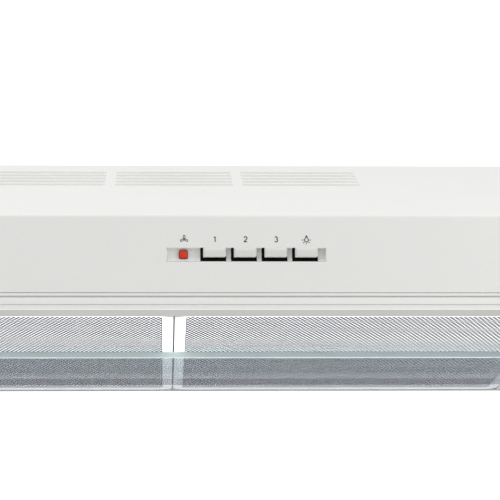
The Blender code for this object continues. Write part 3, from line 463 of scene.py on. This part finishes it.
def let_light_through(made, tint):
    """Shadow and diffuse rays meet a tinted transparent surface, so what lies behind is lit."""
    tree = made.node_tree
    output = tree.nodes["Material Output"]
    shader = tree.nodes["Principled BSDF"]
    kind = tree.nodes.new("ShaderNodeLightPath")
    clear = tree.nodes.new("ShaderNodeBsdfTransparent")
    clear.inputs["Color"].default_value = (*tint, 1)
    mix = tree.nodes.new("ShaderNodeMixShader")
    either = math_node(tree, "MAXIMUM", kind.outputs["Is Shadow Ray"], kind.outputs["Is Diffuse Ray"])
    link(tree, either, mix.inputs[0])
    link(tree, shader.outputs[0], mix.inputs[1])
    link(tree, clear.outputs[0], mix.inputs[2])
    link(tree, mix.outputs[0], output.inputs["Surface"])


let_light_through(visor_glass, (0.90, 0.95, 0.95))
let_light_through(bulb_glass, (0.96, 0.96, 0.96))
print(len(bpy.data.materials), "materials")

# %% [markdown]
# ## Solids that stay as they are
# The folded and bored solids inside the hood already have their true shape, so they only take
# a finish. Each solid keeps the slot that its record names.

# %% Finish for the kept solids
FINISH_OF_SLOT = {
    "enamel": enamel,
    "white_trim": white_trim,
    "button_grey": button_grey,
    "red_lens": red_lens,
    "dark_plastic": dark_plastic,
    "grey_plastic": grey_plastic,
    "clear_glass": visor_glass,
    "bulb_glass": bulb_glass,
    "socket_ceramic": socket_ceramic,
    "filter_frame": frame_metal,
    "filter_mesh": mesh_metal,
    "zinc_steel": zinc_steel,
    "motor_steel": motor_steel,
    "aluminium_can": can_metal,
}
SLOT_OF_NODE = {entry["node"]: entry["material_slot"] for entry in frame["record"]["subparts"]}
for label, solid in frame["nodes"].items():
    solid.data.materials.clear()
    solid.data.materials.append(FINISH_OF_SLOT[SLOT_OF_NODE[label]])
print(len(SLOT_OF_NODE), "solids have a finish")

# %% [markdown]
# ## Canopy
# The top, the sloped face and the fascia are one enamelled sheet with two soft bends. It is a
# profile carried across the width, with the rows and columns of the grid placed so that the
# slots and the control window are cells that can be left out. In front of each slot the sheet
# pressed up into a low ridge that fades out at both ends, which hides the slot from below.
# A Boolean would cut the same holes, but the ridges and the bends come free with the grid.
# First come the sizes, measured from the solid's box.

# %% Canopy sizes
SHEET = 1.0 * MM
low, high = (np.array(corner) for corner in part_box("canopy_shell"))
FRONT, BACK = low[1], high[1]
HALF_WIDTH = high[0]
SLOPE_DEPTH = 200 * MM
BEND_Z = -84 * MM
SLOPE = math.atan2(-BEND_Z, SLOPE_DEPTH)
SOFT_BEND, TOP_BEND = 3.0 * MM, 8.0 * MM
SLOT_ROWS, SLOT_GROUPS = 5, 3
SLOT_LENGTH, SLOT_WIDTH, SLOT_PITCH, GROUP_PITCH = 86.7 * MM, 3.6 * MM, 13.9 * MM, 94.6 * MM
FIRST_SLOT = 116 * MM / math.cos(SLOPE)
RIDGE_RISE, RIDGE_RAMP, RIDGE_TOP, RIDGE_FADE = 1.3 * MM, 0.3 * MM, 2.6 * MM, 2 * MM
along = np.array([math.cos(SLOPE), math.sin(SLOPE)])
outward = np.array([-math.sin(SLOPE), math.cos(SLOPE)])
corner_low = np.array([FRONT, BEND_Z])
bezel_low, bezel_high = (np.array(corner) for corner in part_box("control_bezel"))
BEZEL_LIP, LIP_BELOW, LIP_ABOVE = 3.0 * MM, 2.25 * MM, 3.1 * MM
WINDOW_X = (bezel_low[0] + BEZEL_LIP, bezel_high[0] - BEZEL_LIP)
WINDOW_Z = (bezel_low[2] + LIP_BELOW, bezel_high[2] - LIP_ABOVE)
print("slope in degrees:", round(math.degrees(SLOPE), 1))

# %% [markdown]
# ## Canopy profile
# The side view of the sheet runs from the back edge over the top, down the slope and round the
# front bend to the lower edge of the fascia. Each point of it is a row of the grid. Across a
# slot there are five rows: the two edges of the opening, then the ridge, which steps up at the
# front edge, stays level and comes down again. A Bezier curve would draw the bends too, but it
# couldn't say which of its points is the edge of a slot.

# %% Canopy profile
rows = []
ridge_rows = []
slot_rows = []


def add_row(point, ridge=0.0):
    rows.append(point)
    ridge_rows.append(ridge)


add_row((BACK, 0.0))
add_row((FRONT + SLOPE_DEPTH + 12 * MM, 0.0))
centre = (FRONT + SLOPE_DEPTH + TOP_BEND * math.tan(SLOPE / 2), -TOP_BEND)
for point in arc(centre, TOP_BEND, 90, 90 + math.degrees(SLOPE), 6):
    add_row(tuple(point))
for row in reversed(range(SLOT_ROWS)):
    middle = FIRST_SLOT + row * SLOT_PITCH
    marks = (
        (middle + SLOT_WIDTH / 2, 0.0),
        (middle - SLOT_WIDTH / 2, 0.0),
        (middle - SLOT_WIDTH / 2, 1.0),
        (middle - SLOT_WIDTH / 2 - RIDGE_TOP, 1.0),
        (middle - SLOT_WIDTH / 2 - RIDGE_TOP - RIDGE_RAMP, 0.0),
    )
    slot_rows.append(len(rows))
    for distance, ridge in marks:
        add_row(tuple(corner_low + along * distance), ridge)
bend_set = SOFT_BEND * math.tan((math.pi / 2 - SLOPE) / 2)
centre = (FRONT + SOFT_BEND, BEND_Z - bend_set)
add_row(tuple(corner_low + along * (bend_set + 1.0 * MM)))
for point in arc(centre, SOFT_BEND, 90 + math.degrees(SLOPE), 180, 8):
    add_row(tuple(point))
add_row((FRONT, centre[1] - 1.0 * MM))
window_row = len(rows)
add_row((FRONT, WINDOW_Z[1]))
add_row((FRONT, WINDOW_Z[0]))
add_row((FRONT, low[2]))
rows = np.array(rows)
ridge_rows = np.array(ridge_rows)
print("profile has", len(rows), "points, with slots at rows", slot_rows)

# %% [markdown]
# ## Canopy sheet
# The columns of the grid stand at the ends of the slots, where the ridges begin to fade, and at
# the sides of the control window. Every cell between them becomes a quad, unless it is a slot
# or the window. Then the surface gets the thickness of sheet metal. Building both sides of the
# sheet by hand would double the points and add nothing.

# %% Canopy sheet
slot_centres = (np.arange(SLOT_GROUPS) - (SLOT_GROUPS - 1) / 2) * GROUP_PITCH
edges = {-HALF_WIDTH, HALF_WIDTH, *WINDOW_X}
for middle in slot_centres.tolist():
    for sign in (-1, 1):
        end = middle + sign * SLOT_LENGTH / 2
        edges |= {end, end - sign * RIDGE_FADE}
columns = np.array(sorted(edges))
reach = np.abs(columns[:, None] - slot_centres[None, :]).min(1)
fade = np.clip((SLOT_LENGTH / 2 - reach) / RIDGE_FADE, 0, 1)
points = np.empty((len(rows), len(columns), 3))
points[..., 0] = columns[None, :]
lift = ridge_rows[:, None] * fade[None, :] * RIDGE_RISE
points[..., 1] = rows[:, None, 0] + lift * outward[0]
points[..., 2] = rows[:, None, 1] + lift * outward[1]
keep = np.ones((len(rows) - 1, len(columns) - 1), bool)
mids = (columns[:-1] + columns[1:]) / 2
in_slot = np.abs(mids[:, None] - slot_centres[None, :]).min(1) < SLOT_LENGTH / 2
for row in slot_rows:
    keep[row, in_slot] = False
keep[window_row, (mids > WINDOW_X[0]) & (mids < WINDOW_X[1])] = False
quads = grid_faces(len(rows), len(columns)).reshape(len(rows) - 1, len(columns) - 1, 4)[keep]
canopy = new_piece("canopy", "housing", enamel, points, quads[:, ::-1], recalculate=False)
print("canopy rows and columns:", len(rows), len(columns))
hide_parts("canopy_shell")
thicken(canopy, SHEET)

# %% [markdown]
# ## Front trim
# An extruded white strip closes the lower edge of the fascia: a bead under the joint, a flat
# band between two grooves, and a rounded lip that turns back under the hood. It could be a bar
# with loop cuts pushed in for the grooves. One closed outline carried along the length is
# shorter, keeps every groove straight, and is also how the real strip is made.

# %% Front trim
low, high = (np.array(corner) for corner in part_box("front_trim_rail"))
front, top, lip, back = low[1], high[2], low[2], high[1]


def trim_point(inset_mm, below_mm):
    """A point of the section: inset behind the front face, and distance below the top edge."""
    return (front + inset_mm * MM, top - below_mm * MM)


section = [
    trim_point(2.5, 0.0), trim_point(0.35, 0.0), trim_point(0.10, 0.15), trim_point(0.0, 0.45),
    trim_point(0.0, 1.75), trim_point(0.15, 2.05), trim_point(0.95, 2.30), trim_point(0.95, 3.00),
    trim_point(0.35, 3.35), trim_point(0.20, 3.60), trim_point(0.20, 7.70), trim_point(0.45, 7.95),
    trim_point(0.75, 8.05), trim_point(0.75, 8.30), trim_point(0.10, 8.65), trim_point(0.0, 8.95),
    trim_point(0.0, 10.9), trim_point(0.10, 11.25), trim_point(0.35, 11.5),
]
section += [(back, lip), (back, lip + 1.5 * MM), (front + 2.5 * MM, lip + 1.5 * MM)]
trim = new_carried("front_trim", "housing", white_trim, section, low[0], high[0], 40)
# Faces that point down take the dark copy of the white finish, as painted shade.
trim.data.materials.append(trim_return_painted_shade)
shaded_faces_down = face_values(trim, "normal")[:, 2] < -0.9
trim.data.polygons.foreach_set("material_index", shaded_faces_down.astype(np.int32))
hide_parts("front_trim_rail")
print("trim section has", len(section), "points")

# %% [markdown]
# ## Control strip
# The window in the fascia holds a white moulded trough, a little darker than the trim as painted
# shade, with a thin dark seam all round it that is painted shade for the gap. Its top turns in at
# once and lies in shade, and its floor rises slowly to the front and catches the light. Each button
# stands in its own opening, which is wider on the left, and a black well, painted shade for the dark
# inside, shows there. A box with a Boolean for each opening would do, but the curved floor is easier
# as a grid whose columns over the openings are left out. First come the sizes.

# %% Control strip sizes
BUTTONS = ("button_speed_1", "button_speed_2", "button_speed_3", "button_lamp")
TROUGH_DEPTH, TROUGH_SHEET = 3.2 * MM, 0.8 * MM
TOP_TURN, FLOOR_RISE = 0.5 * MM, 3.6 * MM
SEAM, SEAM_Y, SEAM_THICKNESS = 0.34 * MM, FRONT + 0.35 * MM, 0.35 * MM
TROUGH_FRONT = FRONT + 0.25 * MM
WALL_Y = TROUGH_FRONT + TROUGH_DEPTH
END_RADIUS = 0.9 * MM
TROUGH_X = (WINDOW_X[0] + SEAM, WINDOW_X[1] - SEAM)
TROUGH_Z = (WINDOW_Z[0] + SEAM, WINDOW_Z[1] - SEAM)
WELL_LAP, WELL_Y, WELL_THICKNESS = 0.5 * MM, WALL_Y + 0.9 * MM, 0.4 * MM
CAP_TOP, CAP_FOOT = WINDOW_Z[1] + 0.1 * MM, -113.8 * MM
GAP_LEFT, GAP_RIGHT = 1.9 * MM, 0.05 * MM
cap_boxes = [tuple(np.array(corner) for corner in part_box(name)) for name in BUTTONS]
lens_low, lens_high = (np.array(corner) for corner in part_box("indicator_lens"))
cuts_x = [(c_low[0] - GAP_LEFT, c_high[0] + GAP_RIGHT) for c_low, c_high in cap_boxes]
print("openings in mm:", np.round(np.array(cuts_x) * 1000, 1).tolist())

# %% [markdown]
# ## Trough
# The depth of the trough is a product of two curves, one from top to foot and one from end to
# end, so that its ends round off as well. The points lie closer together where the curves are
# steep. Sculpting the hollow would never come out even along its length.

# %% Trough
end_steps = END_RADIUS * (1 - np.cos(np.radians(np.linspace(0, 90, 8))))
ends_x = {TROUGH_X[0] + step for step in end_steps} | {TROUGH_X[1] - step for step in end_steps}
trough_x = np.array(sorted(ends_x | {value for pair in cuts_x for value in pair}))
trough_height = TROUGH_Z[1] - TROUGH_Z[0]
trough_z = TROUGH_Z[0] + trough_height * (1 - np.cos(np.radians(np.linspace(0, 180, 25)))) / 2
from_top = np.clip((TROUGH_Z[1] - trough_z) / TOP_TURN, 0, 1)
from_foot = np.clip((trough_z - TROUGH_Z[0]) / FLOOR_RISE, 0, 1)
across = np.sqrt(1 - (1 - from_top) ** 2) * np.sin(from_foot * math.pi / 2)
from_end = np.clip(np.minimum(trough_x - TROUGH_X[0], TROUGH_X[1] - trough_x) / END_RADIUS, 0, 1)
lengthways = np.sqrt(np.clip(1 - (1 - from_end) ** 2, 0, 1))
trough_points = np.empty((len(trough_z), len(trough_x), 3))
trough_points[..., 0] = trough_x[None, :]
trough_points[..., 1] = TROUGH_FRONT + TROUGH_DEPTH * across[:, None] * lengthways[None, :]
trough_points[..., 2] = trough_z[:, None]
mid_x = (trough_x[:-1] + trough_x[1:]) / 2
inside = np.zeros(len(mid_x), bool)
for cut_low, cut_high in cuts_x:
    inside |= (mid_x > cut_low) & (mid_x < cut_high)
quads = grid_faces(len(trough_z), len(trough_x)).reshape(-1, len(mid_x), 4)[:, ~inside].reshape(-1, 4)
trough = new_piece("control_trough", "housing", trough_white_painted_shade, trough_points, quads,
                   weld=False, recalculate=False)
thicken(trough, TROUGH_SHEET, -1.0, 40)
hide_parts("control_bezel")
print("trough has", len(trough_z), "rows and", len(trough_x), "columns")

# %% [markdown]
# ## Seam and wells
# The seam is a narrow dark band between the sheet and the trough, a little behind both: painted
# shade for the gap. Behind each opening lies a black plate, the well, which is painted shade for
# the inside of a real hood, too dark to see. Leaving the openings empty would show the lit solids
# behind them.

# %% Seam and wells
ring_outer = rounded_rectangle((WINDOW_X[0], WINDOW_Z[0]), (WINDOW_X[1], WINDOW_Z[1]), [0.9 * MM] * 4, 4)
ring_inner = rounded_rectangle((TROUGH_X[0], TROUGH_Z[0]), (TROUGH_X[1], TROUGH_Z[1]), [0.6 * MM] * 4, 4)
seam_back = SEAM_Y + SEAM_THICKNESS
seam_section = [(0.0, SEAM_Y), (1.0, SEAM_Y), (1.0, seam_back), (0.0, seam_back)]
vertices, faces = band(ring_outer, ring_inner, seam_section)
# The seam band is near black: painted shade for the gap.
new_piece("strip_seam", "housing", seam_painted_shade, vertices[:, [0, 2, 1]], faces, smooth=False)

for number, (cut_low, cut_high) in enumerate(cuts_x, 1):
    outline = rounded_rectangle((cut_low - WELL_LAP, WINDOW_Z[0] - WELL_LAP),
                                (cut_high + WELL_LAP, WINDOW_Z[1] + WELL_LAP), [0.5 * MM] * 4, 5)
    vertices, faces = closed_levels([upright(outline, WELL_Y), upright(outline, WELL_Y + WELL_THICKNESS)])
    # Each well is a black plate: painted shade for the dark inside.
    new_piece(f"button_well_{number}", "housing", well_painted_shade, vertices, faces, smooth=False)
print("trough with", len(cuts_x), "openings, each with a dark well")

# %% [markdown]
# ## Buttons
# Each cap is a short bar with a rounded front: the upper half faces the light and the lower
# half turns away from it. The outline is a rounded rectangle with one larger corner at the
# lower right. Rings of the same outline, each smaller and further forward, give the dome. A
# bevelled cube would round all its edges alike, while these ends are fuller than the long sides.

# %% Buttons
CAP_RADII = (0.4 * MM, 0.4 * MM, 0.4 * MM, 1.8 * MM)
CAP_CROWN, CAP_END_INSET, CAP_BACK = 2.4 * MM, 1.1 * MM, FRONT + 0.9 * MM
CAP_INSET_FROM_BOX = 0.02 * MM


def cap_mesh(cap_low, cap_high, back_y, front_y):
    """Rounded bar: rings of the outline that shrink and rise towards the front, then a lid.

    Ring by ring the angle a grows from 0 to 90 degrees. The outline draws in by half the height
    times 1 - cos a, and stands back from the front by the crown times 1 - sin a."""
    outline = rounded_rectangle(cap_low[[0, 2]], cap_high[[0, 2]], CAP_RADII, 6)
    middle = (cap_low[[0, 2]] + cap_high[[0, 2]]) / 2
    half = (cap_high[[0, 2]] - cap_low[[0, 2]]) / 2
    rings = [(0.0, back_y)]
    for angle in np.radians(np.linspace(0, 90, 11)).tolist():
        rings.append((half[1] * (1 - math.cos(angle)), front_y + CAP_CROWN * (1 - math.sin(angle))))
    offset = outline - middle
    levels = []
    for inset, y in rings:
        shrink = np.clip(1 - inset / half, 0.0, 1.0)
        shrink[0] = 1 - min(inset, CAP_END_INSET) / half[0]
        levels.append(upright(middle + offset * shrink, y))
    return closed_levels(levels)


for name, (c_low, c_high) in zip(BUTTONS, cap_boxes):
    body = "button_light" if name == "button_lamp" else "button_" + name[-1]
    face_low = np.array([c_low[0], c_low[1], CAP_FOOT])
    face_high = np.array([c_high[0], c_high[1], CAP_TOP])
    vertices, faces = cap_mesh(face_low, face_high, CAP_BACK, c_low[1] + CAP_INSET_FROM_BOX)
    cap = new_piece(name + "_cap", body, button_grey, vertices, faces, angle=50)
    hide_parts(name)
print("four caps")

# %% [markdown]
# ## Button icons
# The icons are printed on the fascia above the buttons: a fan for the fan group, the digits
# of the three speeds, and a lamp with rays. They are flat ribbons a few hundredths of a
# millimetre thick, drawn from short lines, so they need no image. A font would do for the
# digits, but strokes keep all the icons in one weight. The first cell turns lines into ribbons.

# %% Icon helpers
STROKE = 0.68 * MM
ICON_Z = -101.3 * MM
ICON_PROUD = 0.04 * MM


def ribbon(line, closed=False, width=STROKE):
    """A flat band along a line: each point is moved to both sides by half the width."""
    line = np.asarray(line, float)
    if closed:
        ahead, behind = np.roll(line, -1, 0), np.roll(line, 1, 0)
    else:
        ahead = np.concatenate([line[1:], line[-1:]])
        behind = np.concatenate([line[:1], line[:-1]])
    along_line = ahead - behind
    along_line /= np.linalg.norm(along_line, axis=1, keepdims=True)
    side = np.stack([-along_line[:, 1], along_line[:, 0]], -1) * width / 2
    flat = np.concatenate([line + side, line - side])
    return flat, grid_faces(2, len(line), close_columns=closed)


def icon(name, strokes, centre_x, scale=1.0, width=STROKE):
    """One thin mesh from several (line, closed) strokes given in millimetres about a centre."""
    vertices, faces, first = [], [], 0
    for line, closed in strokes:
        flat, quads = ribbon(np.asarray(line) * MM * scale, closed, width)
        vertices.append(flat)
        faces.append(quads + first)
        first += len(flat)
    flat = np.concatenate(vertices)
    points = upright(flat + [centre_x, ICON_Z], FRONT - ICON_PROUD)
    made = new_piece(name, "housing", icon_ink, points, np.concatenate(faces),
                     smooth=False, weld=False, recalculate=False)
    return thicken(made, ICON_PROUD * 0.8, 0.0)


print("ribbons are", round(STROKE * 1000, 2), "mm wide")

# %% [markdown]
# ## Icon strokes
# Every icon is a list of lines in millimetres about its own centre, and each line says whether
# it closes on itself. The fan is one loop turned to three places about the hub. The lamp is an
# open circle on a stack of short bars, with five rays.


# %% Icon strokes
def blade_outline(turn):
    """An oval loop that points away from the hub, turned about it."""
    t = np.linspace(0, math.tau, 24, endpoint=False)
    x = 1.32 + 1.12 * np.cos(t)
    y = 0.56 * np.sin(t)
    a = math.radians(turn)
    return np.column_stack([x * math.cos(a) - y * math.sin(a), x * math.sin(a) + y * math.cos(a)])


fan_strokes = [(blade_outline(angle), True) for angle in (90, 206, 334)]
lamp_strokes = [
    (arc((0, -0.40), 1.15, 128, 412, 20), False),
    ([(-0.68, 0.52), (-0.50, 1.0), (-0.45, 1.35)], False),
    ([(0.68, 0.52), (0.50, 1.0), (0.45, 1.35)], False),
    ([(-0.55, 1.40), (0.55, 1.40)], False),
    ([(-0.45, 1.85), (0.45, 1.85)], False),
    ([(-0.25, 2.25), (0.25, 2.25)], False),
]
for angle in (180, 225, 270, 315, 360):
    ray = np.array([math.cos(math.radians(angle)), math.sin(math.radians(angle))])
    lamp_strokes.append((np.array([0, -0.40]) + np.array([1.85, 2.6])[:, None] * ray, False))
digit_strokes = {
    "1": [([(-0.62, 1.05), (-0.05, 1.65), (0.12, 1.85), (0.12, -1.85)], False)],
    "2": [(np.concatenate([arc((0, 0.85), 0.98, 170, -35, 12), [(-0.98, -1.63)], [(-0.98, -1.68)]]), False),
          ([(-1.15, -1.68), (1.08, -1.68)], False)],
    "3": [(arc((-0.05, 0.92), 0.86, 155, -80, 12), False), (arc((-0.05, -0.86), 0.98, 80, -158, 12), False)],
}
icon("icon_fan", fan_strokes, lens_low[0] / 2 + lens_high[0] / 2 + 0.5 * MM, 1.12, 0.50 * MM)
for number, (c_low, c_high) in zip("123", cap_boxes):
    icon("icon_" + number, digit_strokes[number], (c_low[0] + c_high[0]) / 2 + 0.2 * MM)
icon("icon_lamp", lamp_strokes, (cap_boxes[3][0][0] + cap_boxes[3][1][0]) / 2, 1.15, 0.62 * MM)
print("five icons")

# %% [markdown]
# ## Indicator lens
# A small red window glows when the fan runs. On the real hood it is a moulded block clipped into
# the strip, with a dark rim where it goes through. Here it is one outline repeated at several
# depths, each a little smaller towards the front, which rounds its edge. A bevelled cube would
# look much the same, but its corners and its edge would have to share one radius.

# %% Lens
RIM_WIDTH, RIM_RADIUS, LENS_RADIUS = 0.5 * MM, 1.4 * MM, 1.1 * MM
RIM_PROUD, RIM_SUNK = 1.5 * MM, 0.4 * MM
LENS_INSETS_MM = (0, 0, 0.25, 0.7, 2.0)
LENS_PROUD_MM = (-0.6, 1.6, 2.0, 2.2, 2.35)
lens_2d = lens_low[[0, 2]], lens_high[[0, 2]]
lens_middle = (lens_2d[0] + lens_2d[1]) / 2
lens_half = (lens_2d[1] - lens_2d[0])[0] / 2
lens_outline = rounded_rectangle(lens_2d[0] + RIM_WIDTH, lens_2d[1] - RIM_WIDTH, [LENS_RADIUS] * 4, 6)
levels = []
for inset, proud in zip(LENS_INSETS_MM, LENS_PROUD_MM):
    ring = lens_middle + (lens_outline - lens_middle) * (1 - inset * MM / lens_half)
    levels.append(upright(ring, WALL_Y - proud * MM))
vertices, faces = closed_levels(levels)
lens = new_piece("indicator_window", "housing", red_lens, vertices, faces, angle=50)
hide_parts("indicator_lens")
rim_outline = rounded_rectangle(*lens_2d, [RIM_RADIUS] * 4, 6)
rim_levels = [upright(rim_outline, y) for y in (WALL_Y - RIM_PROUD, WALL_Y + RIM_SUNK)]
vertices, faces = closed_levels(rim_levels)
new_piece("indicator_rim", "housing", red_rim, vertices, faces, smooth=False)
print("lens at", np.round(lens_middle * 1000, 1))

# %% [markdown]
# ## Filter trays
# Each filter is a folded aluminium frame with round corners. The strips round the mesh are
# slightly dished between two raised edges, which is what stiffens thin folded sheet. The
# section is swept from the outer outline to the inner one. Four extruded strips would meet in
# mitres at the corners, where the real frame is round.

# %% Filter trays
STRIP_SIDE, STRIP_BACK, STRIP_FRONT = 8 * MM, 11.5 * MM, 2 * MM
OUTER_CORNER, INNER_CORNER = 10 * MM, 3.3 * MM
tray_section = [(0.0, 9.0), (0.0, 0.35), (0.03, 0.08), (0.08, 0.0), (0.16, 0.0), (0.22, 0.12), (0.26, 0.35),
                (0.74, 0.35), (0.78, 0.12), (0.84, 0.0), (0.93, 0.0), (0.98, 0.1), (1.0, 0.4), (1.0, 9.0)]
for side in ("left", "right"):
    low, high = (np.array(corner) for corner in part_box("filter_tray_" + side))
    inner_low = low[:2] + [STRIP_SIDE, STRIP_FRONT]
    inner_high = high[:2] - [STRIP_SIDE, STRIP_BACK]
    outer = rounded_rectangle(low[:2], high[:2], [OUTER_CORNER] * 4, 10)
    inner = rounded_rectangle(inner_low, inner_high, [INNER_CORNER] * 4, 10)
    section = [(share, low[2] + up * MM) for share, up in tray_section]
    vertices, faces = band(outer, inner, section)
    frame_piece = new_piece("tray_" + side, "housing", frame_metal, vertices, faces, angle=40)
    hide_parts("filter_tray_" + side)
print("two trays with", len(tray_section), "points in the section")

# %% [markdown]
# ## Filter mesh
# The grease filter is expanded aluminium: a sheet slit in rows and stretched, which opens
# diamond holes that are staggered from row to row. One cell is a rhombus with an oval hole
# whose rim turns up. The cells are laid out as an array and share nothing, which keeps the
# numbers simple. The walls of the holes are painted near black as painted shade, since hardly
# any light comes out of them. Several finer layers lie above, and one near-black sheet, painted
# shade, stands for them. A texture with holes would be lighter, but its holes would have no depth.

# %% Filter mesh
PITCH, ROW = 3.33 * MM, 4.8 * MM
CORNERS = 8
RIM, CORNER_DRAW, WALL_DRAW = 0.78, 0.84, 0.97
SHEET_LIFT, PACK_LIFT = 0.1 * MM, 1.2 * MM
angle = np.arange(CORNERS) * math.tau / CORNERS
cell_outer = np.stack([np.cos(angle), np.sin(angle)], -1)
cell_outer[1::2] = np.stack([np.sign(cell_outer[1::2, 0]), np.sign(cell_outer[1::2, 1])], -1) * 0.5
cell_outer *= [PITCH / 2, ROW]
cell_inner = np.stack([np.cos(angle) * PITCH / 2, np.sin(angle) * ROW], -1) * RIM
cell_inner[1::2] *= CORNER_DRAW
CELL_LEVELS = ((cell_outer, 0.0), (cell_inner, 0.25 * MM), (cell_inner * WALL_DRAW, 0.5 * MM))
cell = np.concatenate([np.column_stack([ring, np.full(CORNERS, up)]) for ring, up in CELL_LEVELS])
cell_faces = grid_faces(len(CELL_LEVELS), CORNERS, close_columns=True)
for side in ("left", "right"):
    low, high = (np.array(corner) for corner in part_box("filter_mesh_" + side))
    rows_y = np.arange(low[1] + ROW * 0.3, high[1], ROW)
    columns_x = np.arange(low[0] - PITCH * 0.25, high[0], PITCH)
    grid_y, grid_x = np.meshgrid(rows_y, columns_x, indexing="ij")
    grid_x = grid_x + (np.arange(len(rows_y)) % 2)[:, None] * PITCH / 2
    centres = np.stack([grid_x, grid_y, np.full(grid_x.shape, low[2] + SHEET_LIFT)], -1).reshape(-1, 3)
    vertices = (centres[:, None, :] + cell[None, :, :]).reshape(-1, 3)
    vertices[:, :2] = np.clip(vertices[:, :2], low[:2], high[:2])
    faces = (cell_faces[None, :, :] + (np.arange(len(centres)) * len(cell))[:, None, None]).reshape(-1, 4)
    sheet = new_piece("mesh_sheet_" + side, "housing", mesh_metal, vertices, faces[:, ::-1],
                      weld=False, recalculate=False, angle=180)
    # The walls of the holes take the near-black finish: painted shade.
    sheet.data.materials.append(mesh_painted_shade)
    is_wall = np.tile(np.arange(len(cell_faces)) >= CORNERS, len(centres))
    sheet.data.polygons.foreach_set("material_index", is_wall.astype(np.int32))
    backing = np.array([[low[0], low[1]], [high[0], low[1]], [high[0], high[1]], [low[0], high[1]]])
    levels = [np.column_stack([backing, np.full(4, z)]) for z in (low[2] + PACK_LIFT, high[2])]
    vertices, faces = closed_levels(levels)
    # The pack of finer layers is a near-black box: painted shade.
    pack = new_piece("mesh_pack_" + side, "housing", mesh_painted_shade, vertices, faces, smooth=False)
    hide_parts("filter_mesh_" + side)
    print("mesh", side, "has", len(centres), "holes")

# %% [markdown]
# ## Visor glass
# The visor that pulls out to widen the hood is a sheet of toughened glass. Its faces are
# clear, and the ground front edge shows the grey-green of the glass. A flat plane would be
# enough for the clear part, but it would have no edge to catch the light. So its section, with
# four small rounded corners, is carried along the width, and the front faces get a second finish.

# %% Visor glass
low, high = (np.array(corner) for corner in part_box("visor_glass"))
EDGE = 0.8 * MM
section = np.concatenate([
    arc((low[1] + EDGE, low[2] + EDGE), EDGE, 270, 180, 4),
    arc((low[1] + EDGE, high[2] - EDGE), EDGE, 180, 90, 4),
    arc((high[1] - EDGE, high[2] - EDGE), EDGE, 90, 0, 4),
    arc((high[1] - EDGE, low[2] + EDGE), EDGE, 0, -90, 4),
])
glass = new_carried("visor_sheet", "visor", visor_glass, section, low[0], high[0], 5)
glass.data.materials.append(glass_edge)
at_front = (face_values(glass, "center")[:, 1] < low[1] + EDGE) & (face_values(glass, "normal")[:, 1] < -0.5)
glass.data.polygons.foreach_set("material_index", at_front.astype(np.int32))
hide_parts("visor_glass")
print("glass", np.round((high - low) * 1000, 1), "mm")

# %% [markdown]
# ## Floor
# A plain pale floor far below the hood. It only sends soft light back up, as a worktop would.

# %% Floor
floor_finish = finish("floor_paint", (0.86, 0.86, 0.86), 0.6, tint=0.01, bump=0.0, scale=0.6)
floor_mesh = bpy.data.meshes.new("floor")
FLOOR_HALF = 6.0
floor_corners = [(x * FLOOR_HALF, y * FLOOR_HALF, FLOOR_Z) for x, y in ((-1, -1), (1, -1), (1, 1), (-1, 1))]
floor_mesh.from_pydata(floor_corners, [], [(0, 1, 2, 3)])
floor_mesh.materials.append(floor_finish)
floor = bpy.data.objects.new("floor", floor_mesh)
bpy.context.scene.collection.objects.link(floor)
